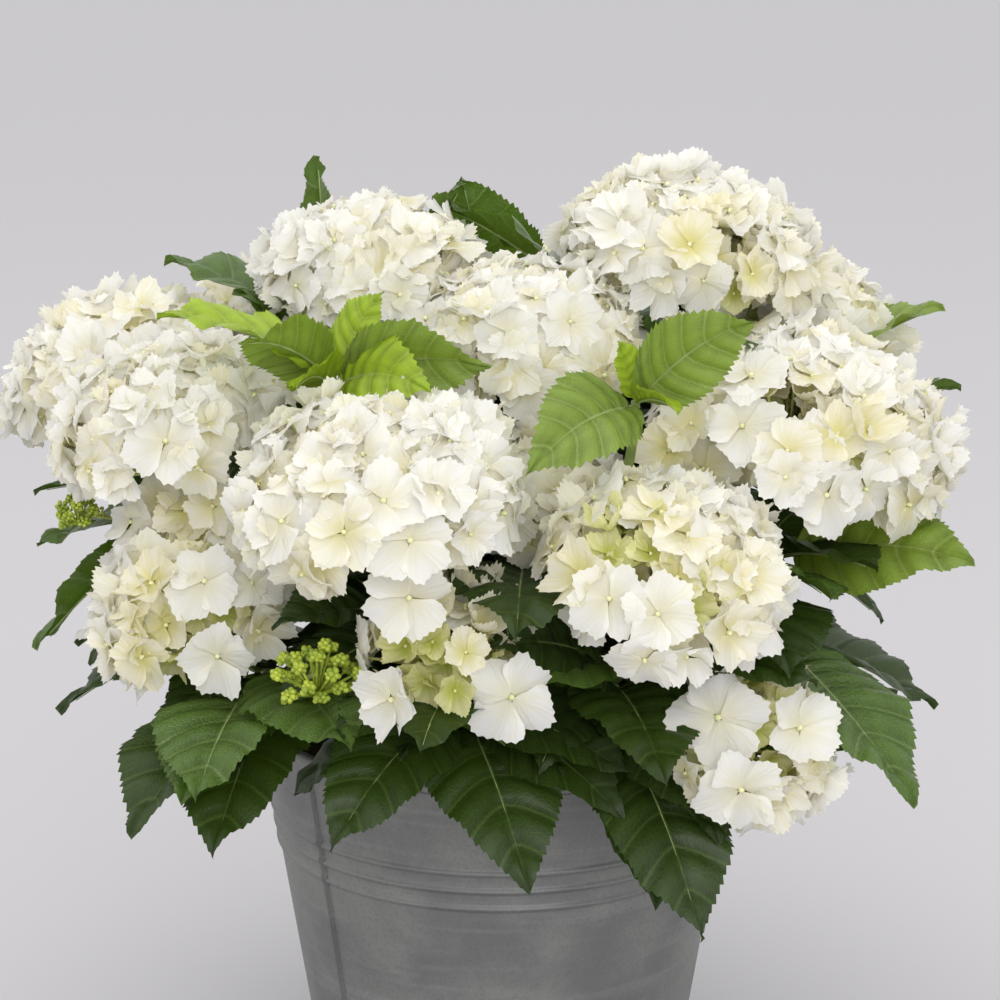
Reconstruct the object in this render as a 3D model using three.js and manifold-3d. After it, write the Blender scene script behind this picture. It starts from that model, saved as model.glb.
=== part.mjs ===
// A hydrangea shrub in full flower, in a round galvanised bucket, at its real size.
// Units are millimetres. +Z is up, the origin is the middle of the bucket's flat underside,
// and the side with the big low leaves faces -Y. Bearings are degrees from +X towards +Y.
//
// Canes rise from the compost. Each ends in a leafy green shoot, and boughs fork off it to
// more shoots. A shoot carries pairs of leaves and ends just under its own flower head.

import * as THREE from 'three';
import { mergeVertices } from 'three/addons/utils/BufferGeometryUtils.js';
import Module from 'manifold-3d';

const wasm = await Module();
wasm.setup();

// The bucket
const potHeight = 240;
const potRimRadius = 137;
const potFootRadius = 99;
const potWall = 2.5;
const potFloor = 3;
const rimRoll = 3.4;
const beadDepths = [53.5, 64, 74.5];
const beadReach = 1.6;
const beadHalfWidth = 2.4;
const rimRollTurns = [-100, -40, 20, 90, 150];
const potSides = 40;
const compostDrop = 17;
const compostLevel = potHeight - compostDrop;

// Everything that touches keeps this much air between solids.
const seatGap = 0.3;

// Limbs
const caneFootRadius = 6.4;
const caneTipRadius = 3.6;
const boughTipRadius = 3.0;
const shootTipRadius = 2.3;
const shootStep = 0.4;
const forkGap = 0.45;
const pastTheTip = 0.02;
const flareHeight = 14;
const flareExtra = 2.2;
const woodShare = 0.5;
const caneLean = 0.25;
const boughLift = 0.25;
const leavingReach = 0.38;
const arrivingReach = 0.24;
const caneSides = 7;
const boughSides = 5;
const shootSides = 5;
const limbSteps = 4;

// Flower heads, as shares of a head's radius
const domeAcross = 0.9;
const domeAlong = 0.64;
const coreAcross = 0.72;
const coreAlong = 0.5;
const floretRadii = [0.38, 0.34, 0.3, 0.26];
const floretGap = 0.4;
const floretsPerHead = 22;
const rootDepth = 0.64;
const floretCup = 0.1;
const turnWobble = 0.4;
const liftWobble = 0.12;
const domeLimit = 95;
const neckLength = 8;
const stalkShare = 0.6;
const ownSpaceMargin = 0.12;
const goldenTurn = 137.508;
const crownHeart = new THREE.Vector3(0, 10, 235);
const headLift = 3.5;

// Leaves. Width, thickness, fold and arch are shares of the blade's length.
const bladeLength = 104;
const bladeShare = 0.84;
const leafHalfWidth = 0.31;
const youngHalfWidth = 0.25;
const leafThickness = 0.03;
const leafFold = 0.07;
const leafArch = 0.2;
const faceOutward = 0.45;
const youngFaceOutward = 1.6;
const oppositeShare = 0.82;
const crownReach = 262;
const crownLow = 186;
const crownTop = 540;

// What a planned leaf tries in turn: degrees of swing about its root, mm of rise of its tip
const leafTries = [[0, 0], [7, 0], [-7, 0], [0, -9], [13, -4], [-13, -4], [7, 9], [-7, 9]];

// Filling leaves: where along the shoot each pair sits, the least and most reach of a leaf in
// mm, and the least and most rise of its tip as a share of that reach
const fillerShares = [0.2, 0.6];
const fillerReach = [62, 112];
const fillerRise = [-0.63, 0.27];

// Clusters of unopened buds
const budKnobs = 9;
const budKnobShare = 0.34;
const budBallShare = 0.85;
const budSpreadShare = 0.8;
const budTwigRadius = 1.4;
const budShare = 0.5;

// Canes: the bearing and spread of the foot in the compost
const canePlan = {
  front: { bearing: -105, spread: 44 },
  front_right: { bearing: -55, spread: 46 },
  right: { bearing: -12, spread: 50 },
  back_right: { bearing: 40, spread: 46 },
  back: { bearing: 92, spread: 46 },
  left_back: { bearing: 148, spread: 48 },
  left: { bearing: 200, spread: 50 },
  middle_left: { bearing: 170, spread: 14 },
  middle_right: { bearing: 20, spread: 16 },
};

// Shoots. middle and radius are the flower head's, and fork is how far along the cane's wood
// the shoot's bough leaves it, 1 being the cane's own tip. Each leaf row gives the share of the
// shoot where the leaf sits, the bearing, spread and height of its tip, and its roll if any.
const shootPlan = [
  {
    name: 'centre_front', cane: 'front', fork: 1, middle: [-62, -158, 399], radius: 74,
    leaves: [[0.55, -124, 205, 335], [0.5, -150, 120, 330]],
  },
  {
    name: 'front_right', cane: 'front_right', fork: 1, middle: [79, -163, 358], radius: 68,
    leaves: [[0.25, -70, 238, 272], [0.05, -63, 230, 184], [0.15, -84, 186, 268],
      [0.5, -91.6, 200, 334, -25], [0.5, -47.5, 236, 306]],
  },
  {
    name: 'right', cane: 'right', fork: 1, middle: [159, -60, 405], radius: 86,
    leaves: [[0.6, -26, 272, 356, 40], [0.5, -42.7, 226, 343, -20], [0.3, -37.5, 270, 240],
      [0.35, -51, 232, 316], [0.08, -8, 242, 246]],
  },
  {
    name: 'right_rear', cane: 'back_right', fork: 1, middle: [176, 60, 440], radius: 54,
    leaves: [[0.8, 3, 243, 465], [0.55, -1, 252, 419], [0.3, 28, 262, 352], [0.1, 20, 240, 262]],
  },
  {
    name: 'back', cane: 'back', fork: 1, middle: [8, 150, 424], radius: 72,
    leaves: [[0.6, 106, 78, 525], [0.4, 66, 246, 384], [0.25, 84, 228, 400], [0.05, 108, 246, 256]],
  },
  {
    name: 'left_rear', cane: 'left_back', fork: 1, middle: [-212, 45, 415], radius: 71,
    leaves: [[0.65, 150, 270, 372], [0.5, -168.7, 256, 285], [0.3, 176, 262, 330],
      [0.05, 166, 250, 246]],
    buds: [-165, 236, 372, 12],
  },
  {
    name: 'left_mid', cane: 'left', fork: 1, middle: [-172, -62, 411], radius: 64,
    leaves: [[0.3, 178, 212, 322], [0.6, 128, 150, 372], [0.05, -168, 246, 250]],
  },
  {
    name: 'top_left', cane: 'middle_left', fork: 1, middle: [-71, 27, 474], radius: 66,
    leaves: [[0.8, 162, 198, 482], [0.5, 40, 60, 470], [0.7, 108.4, 74, 524]],
  },
  {
    name: 'top_right', cane: 'middle_right', fork: 1, middle: [102, 20, 484], radius: 75,
    leaves: [[0.75, 116, 78, 514], [0.6, 74, 152, 470]],
  },
  {
    name: 'low_centre', cane: 'front', fork: 0.45, middle: [-26, -179, 327], radius: 47,
    leaves: [[0.55, -112, 222, 286], [0.3, -111.5, 232, 235], [0.08, -86, 216, 211],
      [0.02, -99, 184, 262]],
  },
  {
    name: 'low_right', cane: 'front_right', fork: 0.4, middle: [126, -150, 271], radius: 50,
    leaves: [[0.15, -20, 226, 268], [0.05, -46, 200, 262]],
  },
  {
    name: 'left_low', cane: 'left', fork: 0.4, middle: [-155, -95, 328], radius: 64,
    leaves: [[0.55, -109, 225, 284], [0.42, -125, 264, 264], [0.3, -134.5, 266, 231],
      [0.22, -128.5, 255, 251], [0.15, -126, 247, 226]],
    buds: [-116, 208, 316, 22],
  },
  {
    name: 'middle', cane: 'middle_right', fork: 0.45, middle: [15, -28, 446], radius: 70,
    leaves: [[0.5, 95, 60, 400]],
  },
  {
    name: 'shaded', cane: 'middle_right', fork: 0.3, middle: [14, -92, 382], radius: 50,
    leaves: [[0.8, -88, 230, 352], [0.4, -100, 118, 336]],
  },
  {
    name: 'back_right', cane: 'back_right', fork: 0.5, middle: [118, 168, 398], radius: 66,
    leaves: [[0.4, 40, 270, 352], [0.1, 58, 254, 256]],
  },
  {
    name: 'back_left', cane: 'left_back', fork: 0.55, middle: [-118, 140, 420], radius: 72,
    leaves: [[0.6, 141.6, 129, 536], [0.6, 128, 262, 350], [0.3, 146, 254, 296],
      [0.1, 146, 244, 246]],
  },
  {
    name: 'low_back_left', cane: 'back', fork: 0.35, middle: [-62, 196, 330], radius: 58,
    leaves: [[0.35, 88, 266, 262], [0.1, 124, 250, 240]],
  },
  {
    name: 'low_back_right', cane: 'back', fork: 0.5, middle: [52, 205, 312], radius: 54,
    leaves: [[0.35, 60, 258, 250], [0.15, 86, 252, 226]],
  },
  {
    name: 'young_left', cane: 'middle_left', fork: 0.72, tip: [-86, -94, 446],
    leaves: [[0.97, -92, 131, 460, 40], [0.99, -122.5, 113, 493], [0.96, -149, 204, 483, 58],
      [0.98, -131, 198, 478, 30]],
  },
  {
    name: 'young_right', cane: 'front_right', fork: 0.6, tip: [69, -118, 440],
    leaves: [[0.97, -50, 196, 487], [0.95, -86, 191, 420], [0.99, -66, 145, 474],
      [0.98, -61, 184, 444, -20]],
  },
];

const material = (color, roughness, metalness) =>
  new THREE.MeshStandardMaterial({ color, roughness, metalness, flatShading: true });

const looks = {
  zinc: () => material(0x8b8d8c, 0.5, 0.8),
  compost: () => material(0x2c2118, 1, 0),
  wood: () => material(0x8a7a58, 0.85, 0),
  leaf: () => material(0x45632c, 0.5, 0),
  petal: () => material(0xf0ecdf, 0.7, 0),
};

// A seeded random stream, the same on every run
function randomStream(seed) {
  let state = seed >>> 0;
  return () => {
    state = (state + 0x6d2b79f5) >>> 0;
    let mixed = state;
    mixed = Math.imul(mixed ^ (mixed >>> 15), mixed | 1);
    mixed ^= mixed + Math.imul(mixed ^ (mixed >>> 7), mixed | 61);
    return ((mixed ^ (mixed >>> 14)) >>> 0) / 4294967296;
  };
}

// Solids

function toSolid(geometry) {
  const bare = geometry.clone();
  bare.deleteAttribute('normal');
  bare.deleteAttribute('uv');
  const merged = mergeVertices(bare, 1e-3);
  const corners = Array.from(merged.index.array);
  const triangles = [];
  for (let i = 0; i < corners.length; i += 3) {
    const [a, b, c] = corners.slice(i, i + 3);
    if (a !== b && b !== c && c !== a) triangles.push(a, b, c);
  }
  const make = (order) => new wasm.Manifold(new wasm.Mesh({
    numProp: 3,
    vertProperties: new Float32Array(merged.attributes.position.array),
    triVerts: new Uint32Array(order),
  }));
  const solid = make(triangles);
  return solid.volume() > 0 ? solid : make(triangles.reverse());
}

function toGeometry(solid) {
  const mesh = solid.getMesh();
  const geometry = new THREE.BufferGeometry();
  geometry.setAttribute('position', new THREE.BufferAttribute(mesh.vertProperties.slice(), 3));
  geometry.setIndex(new THREE.BufferAttribute(mesh.triVerts.slice(), 1));
  geometry.computeVertexNormals();
  return geometry;
}

// A closed skin over rings of points. A ring of one point closes its end to a tip.
function loft(rings) {
  const points = rings.flat();
  const starts = rings.map((ring, i) => rings.slice(0, i).flat().length);
  const faces = [];
  for (let i = 0; i + 1 < rings.length; i += 1) {
    const count = Math.max(rings[i].length, rings[i + 1].length);
    for (let k = 0; k < count; k += 1) {
      const next = (k + 1) % count;
      const low = (j) => starts[i] + (rings[i].length > 1 ? j : 0);
      const high = (j) => starts[i + 1] + (rings[i + 1].length > 1 ? j : 0);
      if (rings[i].length > 1) faces.push(low(k), low(next), high(next));
      if (rings[i + 1].length > 1) faces.push(low(k), high(next), high(k));
    }
  }
  for (let k = 1; k + 1 < rings[0].length; k += 1) faces.push(starts[0], k + 1, k);
  const last = rings.length - 1;
  for (let k = 1; k + 1 < rings[last].length; k += 1) {
    faces.push(starts[last], starts[last] + k, starts[last] + k + 1);
  }
  const geometry = new THREE.BufferGeometry().setFromPoints(points);
  geometry.setIndex(faces);
  return toSolid(geometry);
}

const between = ([low, high], share) => low + (high - low) * share;

// Directions

const up = new THREE.Vector3(0, 0, 1);

function fromBearing(bearing, spread, height) {
  const angle = THREE.MathUtils.degToRad(bearing);
  return new THREE.Vector3(Math.cos(angle) * spread, Math.sin(angle) * spread, height);
}

// Two directions square to one another and to the given one
function squareTo(direction) {
  const side = new THREE.Vector3().crossVectors(direction, up);
  if (side.length() < 1e-3) side.set(1, 0, 0);
  side.normalize();
  const front = new THREE.Vector3().crossVectors(side, direction).normalize();
  return [side, front];
}

// Limbs

// A tapering limb along a stretch of a curve, cut level where it stands on the compost. Each
// ring carries on from the one before, so that the limb isn't twisted.
function limb(curve, from, to, radiusAt, sides, steps) {
  let [side] = squareTo(curve.getTangent(from));
  const rings = [];
  for (let i = 0; i <= steps; i += 1) {
    const t = from + ((to - from) * i) / steps;
    const middle = curve.getPoint(t);
    const standsOnCompost = middle.z < compostLevel + 1;
    const direction = standsOnCompost ? up : curve.getTangent(t);
    side = side.clone().addScaledVector(direction, -side.dot(direction)).normalize();
    const front = side.clone().cross(direction);
    const radius = radiusAt(i / steps, middle);
    rings.push(Array.from({ length: sides }, (_, k) => {
      const turn = (k / sides) * Math.PI * 2;
      return middle.clone()
        .addScaledVector(side, Math.cos(turn) * radius)
        .addScaledVector(front, Math.sin(turn) * radius);
    }));
  }
  return loft(rings);
}

const taper = (start, end) => (share) => start + (end - start) * share;

function caneRadius(share, middle) {
  const aboveFoot = middle.z - compostLevel;
  const flare = flareExtra * Math.max(0, 1 - aboveFoot / flareHeight);
  return taper(caneFootRadius, caneTipRadius)(share) + flare;
}

// Flower heads

// A head looks outwards low in the crown, and more and more upwards above.
function headAxis(plan) {
  const away = new THREE.Vector3(...plan.middle).sub(crownHeart);
  away.z *= headLift;
  return away.normalize();
}

function neckPoint(plan) {
  if (plan.tip) return new THREE.Vector3(...plan.tip);
  const depth = coreAlong * plan.radius + neckLength;
  return new THREE.Vector3(...plan.middle).addScaledVector(headAxis(plan), -depth);
}

// A shallow dish, a tip to each of its four sepals, that narrows down to its root
function floret(middle, facing, root, radius, turn) {
  const [side, front] = squareTo(facing);
  const outline = Array.from({ length: 4 }, (_, k) => {
    const angle = turn + (k * Math.PI) / 2;
    return middle.clone()
      .addScaledVector(side, Math.cos(angle) * radius)
      .addScaledVector(front, Math.sin(angle) * radius);
  });
  const cup = middle.clone().addScaledVector(facing, -radius * floretCup);
  return loft([[root], outline, [cup]]);
}

// Places and facings of a head's florets, by the golden angle with a seeded wobble
function floretPlaces(plan, count, random) {
  const axis = headAxis(plan);
  const middle = new THREE.Vector3(...plan.middle);
  const [side, front] = squareTo(axis);
  const lowest = Math.cos(THREE.MathUtils.degToRad(domeLimit));
  const places = [];
  for (let i = 0; i < count; i += 1) {
    const along = 1 - (1 - lowest) * ((i + 0.5) / count);
    const across = Math.sqrt(1 - along * along);
    const angle = THREE.MathUtils.degToRad(i * goldenTurn) + (random() - 0.5) * turnWobble;
    const lift = 1 + (random() - 0.5) * liftWobble;
    const outward = side.clone().multiplyScalar(Math.cos(angle) * across)
      .addScaledVector(front, Math.sin(angle) * across);
    const place = middle.clone()
      .addScaledVector(outward, plan.radius * domeAcross * lift)
      .addScaledVector(axis, plan.radius * domeAlong * along * lift);
    const facing = outward.clone().multiplyScalar(1 / domeAcross)
      .addScaledVector(axis, along / domeAlong).normalize();
    places.push({ place, facing, turn: random() * Math.PI });
  }
  return places;
}

// A head keeps to its own side of the plane half way to each neighbour.
function insideOwnSpace(point, plan, margin) {
  const own = point.distanceTo(new THREE.Vector3(...plan.middle)) / plan.radius;
  return shootPlan.every((other) => {
    if (other === plan || !other.middle) return true;
    const away = point.distanceTo(new THREE.Vector3(...other.middle)) / other.radius;
    return away - own > margin;
  });
}

// Leaves

// The midrib leaves the stem level, arches and comes down to the tip.
function leafCurve(root, tip, blade) {
  const crest = root.clone().lerp(tip, 0.5).addScaledVector(up, blade * leafArch);
  return new THREE.QuadraticBezierCurve3(root, crest, tip);
}

// Where along the blade the outline is fixed, and how wide it is there
const leafStations = [[0, 0.1], [0.18, 0.84], [0.42, 1], [0.74, 0.62]];

// A leaf turns its face up and away from the middle of the crown, or rolls about its midrib
// by some degrees more.
function leaf(root, tip, halfWidth, outwardShare, roll = 0) {
  const whole = root.distanceTo(tip);
  const blade = Math.min(bladeLength, whole * bladeShare);
  const curve = leafCurve(root, tip, blade);
  const outward = tip.clone().setZ(0).normalize();
  const facing = up.clone().addScaledVector(outward, outwardShare);
  const way = tip.clone().sub(root).normalize();
  const side = way.clone().cross(facing).normalize()
    .applyAxisAngle(way, THREE.MathUtils.degToRad(roll));
  const rings = [[root]];
  leafStations.forEach(([share, width]) => {
    const along = 1 - (blade / whole) * (1 - share);
    const middle = curve.getPoint(along);
    const normal = side.clone().cross(curve.getTangent(along)).normalize();
    const half = width * halfWidth * blade;
    const thick = leafThickness * blade * (share === 0 ? 1 : 0.75);
    const edge = (sign) => middle.clone().addScaledVector(side, sign * half)
      .addScaledVector(normal, width * leafFold * blade);
    rings.push([
      edge(-1),
      middle.clone().addScaledVector(normal, thick / 2),
      edge(1),
      middle.clone().addScaledVector(normal, -thick / 2),
    ]);
  });
  rings.push([tip]);
  return loft(rings);
}

// Assembly

const hydrangea = new THREE.Group();
const placed = [];

// Puts a solid in the scene under its name, and remembers it for the clearance tests
function addPart(name, solid, look) {
  const mesh = new THREE.Mesh(toGeometry(solid), look());
  mesh.name = name;
  hydrangea.add(mesh);
  const part = { name, mesh, solid, box: solid.boundingBox() };
  placed.push(part);
  return part;
}

function fuse(part, pieces) {
  part.solid = pieces.reduce((whole, piece) => whole.add(piece), part.solid);
  part.box = part.solid.boundingBox();
  part.mesh.geometry = toGeometry(part.solid);
}

function boxesMeet(a, b) {
  return [0, 1, 2].every((k) => a.min[k] <= b.max[k] + 1 && b.min[k] <= a.max[k] + 1);
}

function clearOfAll(solid, own) {
  const box = solid.boundingBox();
  return placed.every((other) => other === own || !boxesMeet(box, other.box)
    || solid.minGap(other.solid, 1) > seatGap);
}

function addPot() {
  const radiusAt = (height) =>
    potFootRadius + ((potRimRadius - potFootRadius) * height) / potHeight;
  const beads = beadDepths.map((depth) => potHeight - depth).reverse();
  const outer = beads.flatMap((height) => [
    [radiusAt(height - beadHalfWidth), height - beadHalfWidth],
    [radiusAt(height) + beadReach, height],
    [radiusAt(height + beadHalfWidth), height + beadHalfWidth],
  ]);
  const rollMiddle = [radiusAt(potHeight - rimRoll), potHeight - rimRoll];
  const roll = rimRollTurns.map((turn) => {
    const angle = THREE.MathUtils.degToRad(turn);
    return [rollMiddle[0] + rimRoll * Math.cos(angle), rollMiddle[1] + rimRoll * Math.sin(angle)];
  });
  const profile = [
    [0, 0], [potFootRadius, 0], ...outer, ...roll,
    [radiusAt(potFloor) - potWall, potFloor], [0, potFloor],
  ].map(([radius, height]) => new THREE.Vector2(radius, height));
  const vessel = new THREE.LatheGeometry(profile, potSides).rotateX(Math.PI / 2);
  addPart('pot', toSolid(vessel), looks.zinc);

  const rollInner = roll[roll.length - 1];
  const innerAt = (height) => {
    const floorRadius = radiusAt(potFloor) - potWall;
    const share = (height - potFloor) / (rollInner[1] - potFloor);
    return floorRadius + (rollInner[0] - floorRadius) * share;
  };
  const compostFloor = potFloor + seatGap;
  const compost = new THREE.LatheGeometry([
    new THREE.Vector2(0, compostFloor),
    new THREE.Vector2(innerAt(compostFloor) - seatGap, compostFloor),
    new THREE.Vector2(innerAt(compostLevel) - seatGap, compostLevel),
    new THREE.Vector2(0, compostLevel),
  ], potSides).rotateX(Math.PI / 2);
  addPart('compost', toSolid(compost), looks.compost);
}

// The whole way from the foot, or from the fork on the cane, to a shoot's tip
function wayTo(plan, start, startDirection) {
  const end = neckPoint(plan);
  const length = start.distanceTo(end);
  const arrive = plan.middle ? headAxis(plan) : up;
  return new THREE.CubicBezierCurve3(
    start,
    start.clone().addScaledVector(startDirection, length * leavingReach),
    end.clone().addScaledVector(arrive, -length * arrivingReach),
    end,
  );
}

function addCanes() {
  const ways = {};
  for (const plan of shootPlan.filter((row) => row.fork === 1)) {
    const { bearing, spread } = canePlan[plan.cane];
    const foot = fromBearing(bearing, spread, compostLevel + seatGap);
    const lean = fromBearing(bearing, caneLean, 1).normalize();
    const way = wayTo(plan, foot, lean);
    ways[plan.cane] = way;
    plan.way = way;
    addPart(`cane_${plan.cane}`, limb(way, 0, woodShare, caneRadius, caneSides, limbSteps),
      looks.wood);
  }
  return ways;
}

function addBoughs(ways) {
  for (const plan of shootPlan.filter((row) => row.fork < 1)) {
    const cane = ways[plan.cane];
    const start = cane.getPoint(plan.fork * woodShare);
    const straight = neckPoint(plan).sub(start).normalize();
    const way = wayTo(plan, start, straight.addScaledVector(up, boughLift).normalize());
    plan.way = way;
    const keepOff = limb(cane, 0, woodShare + pastTheTip,
      (share, middle) => caneRadius(share, middle) + forkGap, caneSides, limbSteps);
    const whole = limb(way, 0, woodShare, taper(caneTipRadius, boughTipRadius), boughSides,
      limbSteps);
    const [bough] = whole.subtract(keepOff).decompose().sort((a, b) => b.volume() - a.volume());
    addPart(`bough_${plan.name}`, bough, looks.wood);
  }
}

// The dense middle of a head, with the stalk that seats on its shoot
function headCore(plan) {
  const middle = new THREE.Vector3(...plan.middle);
  const axis = headAxis(plan);
  const [side, front] = squareTo(axis);
  const turn = new THREE.Matrix4().makeBasis(side, front.clone().negate(), axis);
  const core = new THREE.IcosahedronGeometry(1, 1)
    .scale(plan.radius * coreAcross, plan.radius * coreAcross, plan.radius * coreAlong)
    .applyMatrix4(turn)
    .translate(middle.x, middle.y, middle.z);
  const neck = neckPoint(plan).addScaledVector(axis, seatGap);
  const stalk = limb(new THREE.LineCurve3(neck, middle), 0, stalkShare, () => shootTipRadius,
    shootSides, 1);
  return toSolid(core).add(stalk);
}

// Each floret is as wide as its neighbours leave room for, and one with no room is skipped.
function addFlorets(plan, index) {
  const random = randomStream(1000 + index);
  const middle = new THREE.Vector3(...plan.middle);
  const florets = [];
  for (const { place, facing, turn } of floretPlaces(plan, floretsPerHead, random)) {
    if (!insideOwnSpace(place, plan, ownSpaceMargin)) continue;
    const root = middle.clone().lerp(place, rootDepth);
    const piece = floretRadii
      .map((share) => floret(place, facing, root, plan.radius * share, turn))
      .find((solid) => clearOfAll(solid, plan.part)
        && florets.every((other) => other.minGap(solid, 1) > floretGap));
    if (piece) florets.push(piece);
  }
  fuse(plan.part, florets);
}

// A knobbly cluster of unopened buds on its own twig
function budCluster(plan, root) {
  const [bearing, spread, height, radius] = plan.buds;
  const middle = fromBearing(bearing, spread, height);
  const ball = (place, size) =>
    toSolid(new THREE.IcosahedronGeometry(size, 0).translate(place.x, place.y, place.z));
  const knobs = Array.from({ length: budKnobs }, (_, k) => {
    const along = 1 - (2 * budSpreadShare * (k + 0.5)) / budKnobs;
    const across = Math.sqrt(1 - along * along);
    const offset = fromBearing(k * goldenTurn, across, along).multiplyScalar(radius * budSpreadShare);
    return ball(middle.clone().add(offset), radius * budKnobShare);
  });
  const twig = limb(new THREE.LineCurve3(root, middle), 0, 1, () => budTwigRadius, 3, 1);
  return knobs.reduce((whole, knob) => whole.add(knob), ball(middle, radius * budBallShare).add(twig));
}

function addBuds(plan) {
  const cluster = budCluster(plan, plan.rootAt(budShare));
  if (clearOfAll(cluster, plan.shoot)) fuse(plan.shoot, [cluster]);
}

// The leaf across the stem from one that grows from the same root
function oppositeTip(root, tip) {
  const away = root.clone().sub(tip).multiplyScalar(oppositeShare);
  return new THREE.Vector3(root.x + away.x, root.y + away.y, tip.z);
}

// The first try that touches nothing, swung a little and raised or lowered, or none
function roomyLeaf(plan, root, tip, roll) {
  const width = plan.middle ? leafHalfWidth : youngHalfWidth;
  const outward = plan.middle ? faceOutward : youngFaceOutward;
  return leafTries
    .map(([swing, rise]) => {
      const reach = tip.clone().sub(root)
        .applyAxisAngle(up, THREE.MathUtils.degToRad(swing)).addScaledVector(up, rise);
      return leaf(root, reach.add(root), width, outward, roll);
    })
    .find((piece) => clearOfAll(piece, plan.shoot));
}

function insideCrown(tip) {
  return Math.hypot(tip.x, tip.y) < crownReach && tip.z > crownLow && tip.z < crownTop;
}

function addShoot(plan) {
  const shootStart = woodShare + seatGap / plan.way.getLength();
  const startRadius = (plan.fork === 1 ? caneTipRadius : boughTipRadius) - shootStep;
  const stem = limb(plan.way, shootStart, 1, taper(startRadius, shootTipRadius), shootSides,
    limbSteps);
  plan.shoot = addPart(`shoot_${plan.name}`, stem, looks.leaf);
  plan.rootAt = (share) => plan.way.getPoint(shootStart + (1 - shootStart) * share);
}

function addLeaves(plan) {
  const wanted = plan.leaves.map(([share, bearing, spread, height, roll]) =>
    ({ root: plan.rootAt(share), tip: fromBearing(bearing, spread, height), roll }));
  const across = wanted.map(({ root, tip }) => ({ root, tip: oppositeTip(root, tip) }));
  const kept = [];
  for (const { root, tip, roll } of [...wanted, ...(plan.middle ? across : [])]) {
    const piece = roomyLeaf(plan, root, tip, roll);
    if (piece) kept.push(piece);
  }
  fuse(plan.shoot, kept);
}

// Leaves that the plan doesn't name, kept where there is room for them
function addFillers(plan, index) {
  const random = randomStream(5000 + index);
  const kept = [];
  for (const share of fillerShares) {
    const bearing = 360 * random();
    for (const turn of [0, 180]) {
      const reach = between(fillerReach, random());
      const rise = between(fillerRise, random()) * reach;
      const root = plan.rootAt(share);
      const tip = root.clone().add(fromBearing(bearing + turn, reach, rise));
      const piece = leaf(root, tip, leafHalfWidth, faceOutward);
      if (insideCrown(tip) && clearOfAll(piece, plan.shoot)) kept.push(piece);
    }
  }
  fuse(plan.shoot, kept);
}

const blooming = shootPlan.filter((plan) => plan.middle);

addPot();
addBoughs(addCanes());
blooming.forEach((plan) => {
  plan.part = addPart(`bloom_${plan.name}`, headCore(plan), looks.petal);
});
shootPlan.forEach(addShoot);
shootPlan.filter((plan) => plan.buds).forEach(addBuds);
shootPlan.forEach(addLeaves);
blooming.forEach(addFlorets);
blooming.forEach(addFillers);

export default hydrangea;
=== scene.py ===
"""A white hydrangea in full flower, in a round galvanised bucket.

The crown is grown by the same rule as the solid frame under it: canes, boughs and shoots on the
same curves, leaves from the same roots to the same tips, heads on the same domes. Here it is
carried on to veined leaves, four-sepal florets and their stalks.
Sizes are millimetres until a mesh is made. Bearings are degrees from +X towards +Y.
"""

import math

import bpy
import numpy as np
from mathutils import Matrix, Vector, kdtree, noise


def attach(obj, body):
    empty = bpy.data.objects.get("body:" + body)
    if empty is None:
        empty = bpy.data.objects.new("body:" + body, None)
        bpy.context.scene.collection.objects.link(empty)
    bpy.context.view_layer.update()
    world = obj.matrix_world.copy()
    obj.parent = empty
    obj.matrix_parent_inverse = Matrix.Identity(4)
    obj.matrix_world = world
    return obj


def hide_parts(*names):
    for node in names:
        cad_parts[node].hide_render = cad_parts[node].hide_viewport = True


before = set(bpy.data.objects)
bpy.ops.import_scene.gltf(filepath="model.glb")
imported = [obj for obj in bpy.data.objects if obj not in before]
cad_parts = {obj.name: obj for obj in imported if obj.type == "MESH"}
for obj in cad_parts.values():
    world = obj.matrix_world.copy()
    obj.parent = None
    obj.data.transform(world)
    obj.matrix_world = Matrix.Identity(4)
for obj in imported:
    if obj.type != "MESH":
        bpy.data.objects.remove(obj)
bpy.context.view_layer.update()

MM = 0.001
MASK = 0xFFFFFFFF
UP = np.array([0.0, 0.0, 1.0])
FULL_TURN = 6.28

# Camera, fitted to the bucket's edges and ribs
CAMERA_PLACE = (0.0, -1.632, 0.785)
CAMERA_PITCH = 75.3
CAMERA_LENS = 109.8

# The bucket
POT_HEIGHT = 240
POT_RIM_RADIUS = 137
POT_FOOT_RADIUS = 99
POT_WALL = 1.6
POT_FLOOR = 3
RIM_ROLL = 3.4
BEAD_DEPTHS = (53.5, 64, 74.5)
BEAD_REACH = 1.6
BEAD_HALF_WIDTH = 2.7
POT_SIDES = 128
SEAM_BEARING = -139
SEAM_WIDTH = 4.4
SEAM_THICKNESS = 1.1
# The seam's painted shade: the share of the zinc's colour it keeps, the rest going to near-black
SEAM_PAINTED_SHADE = 0.62
COMPOST_LEVEL = 223
COMPOST_DEPTH = 30
COMPOST_GAP = 0.6
COMPOST_RINGS = 26
COMPOST_SIDES = 96
COMPOST_EDGE = 12

# Limbs
CANE_FOOT_RADIUS = 6.4
CANE_TIP_RADIUS = 3.6
BOUGH_TIP_RADIUS = 3.0
SHOOT_TIP_RADIUS = 2.3
CANE_SINK = 6
FLARE_HEIGHT = 14
FLARE_EXTRA = 2.2
WOOD_SHARE = 0.5
CANE_LEAN = 0.25
BOUGH_LIFT = 0.25
LEAVING_REACH = 0.38
ARRIVING_REACH = 0.24

# Flower heads, as shares of a head's radius
DOME_ACROSS = 0.9
DOME_ALONG = 0.64
CORE_ALONG = 0.5
NECK_LENGTH = 8
TURN_WOBBLE = 0.4
LIFT_WOBBLE = 0.12
DOME_LIMIT = 95
OWN_SPACE_MARGIN = 0.02
GOLDEN_TURN = math.radians(137.508)
CROWN_HEART = np.array([0.0, 10.0, 235.0])
HEAD_LIFT = 3.5

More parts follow.
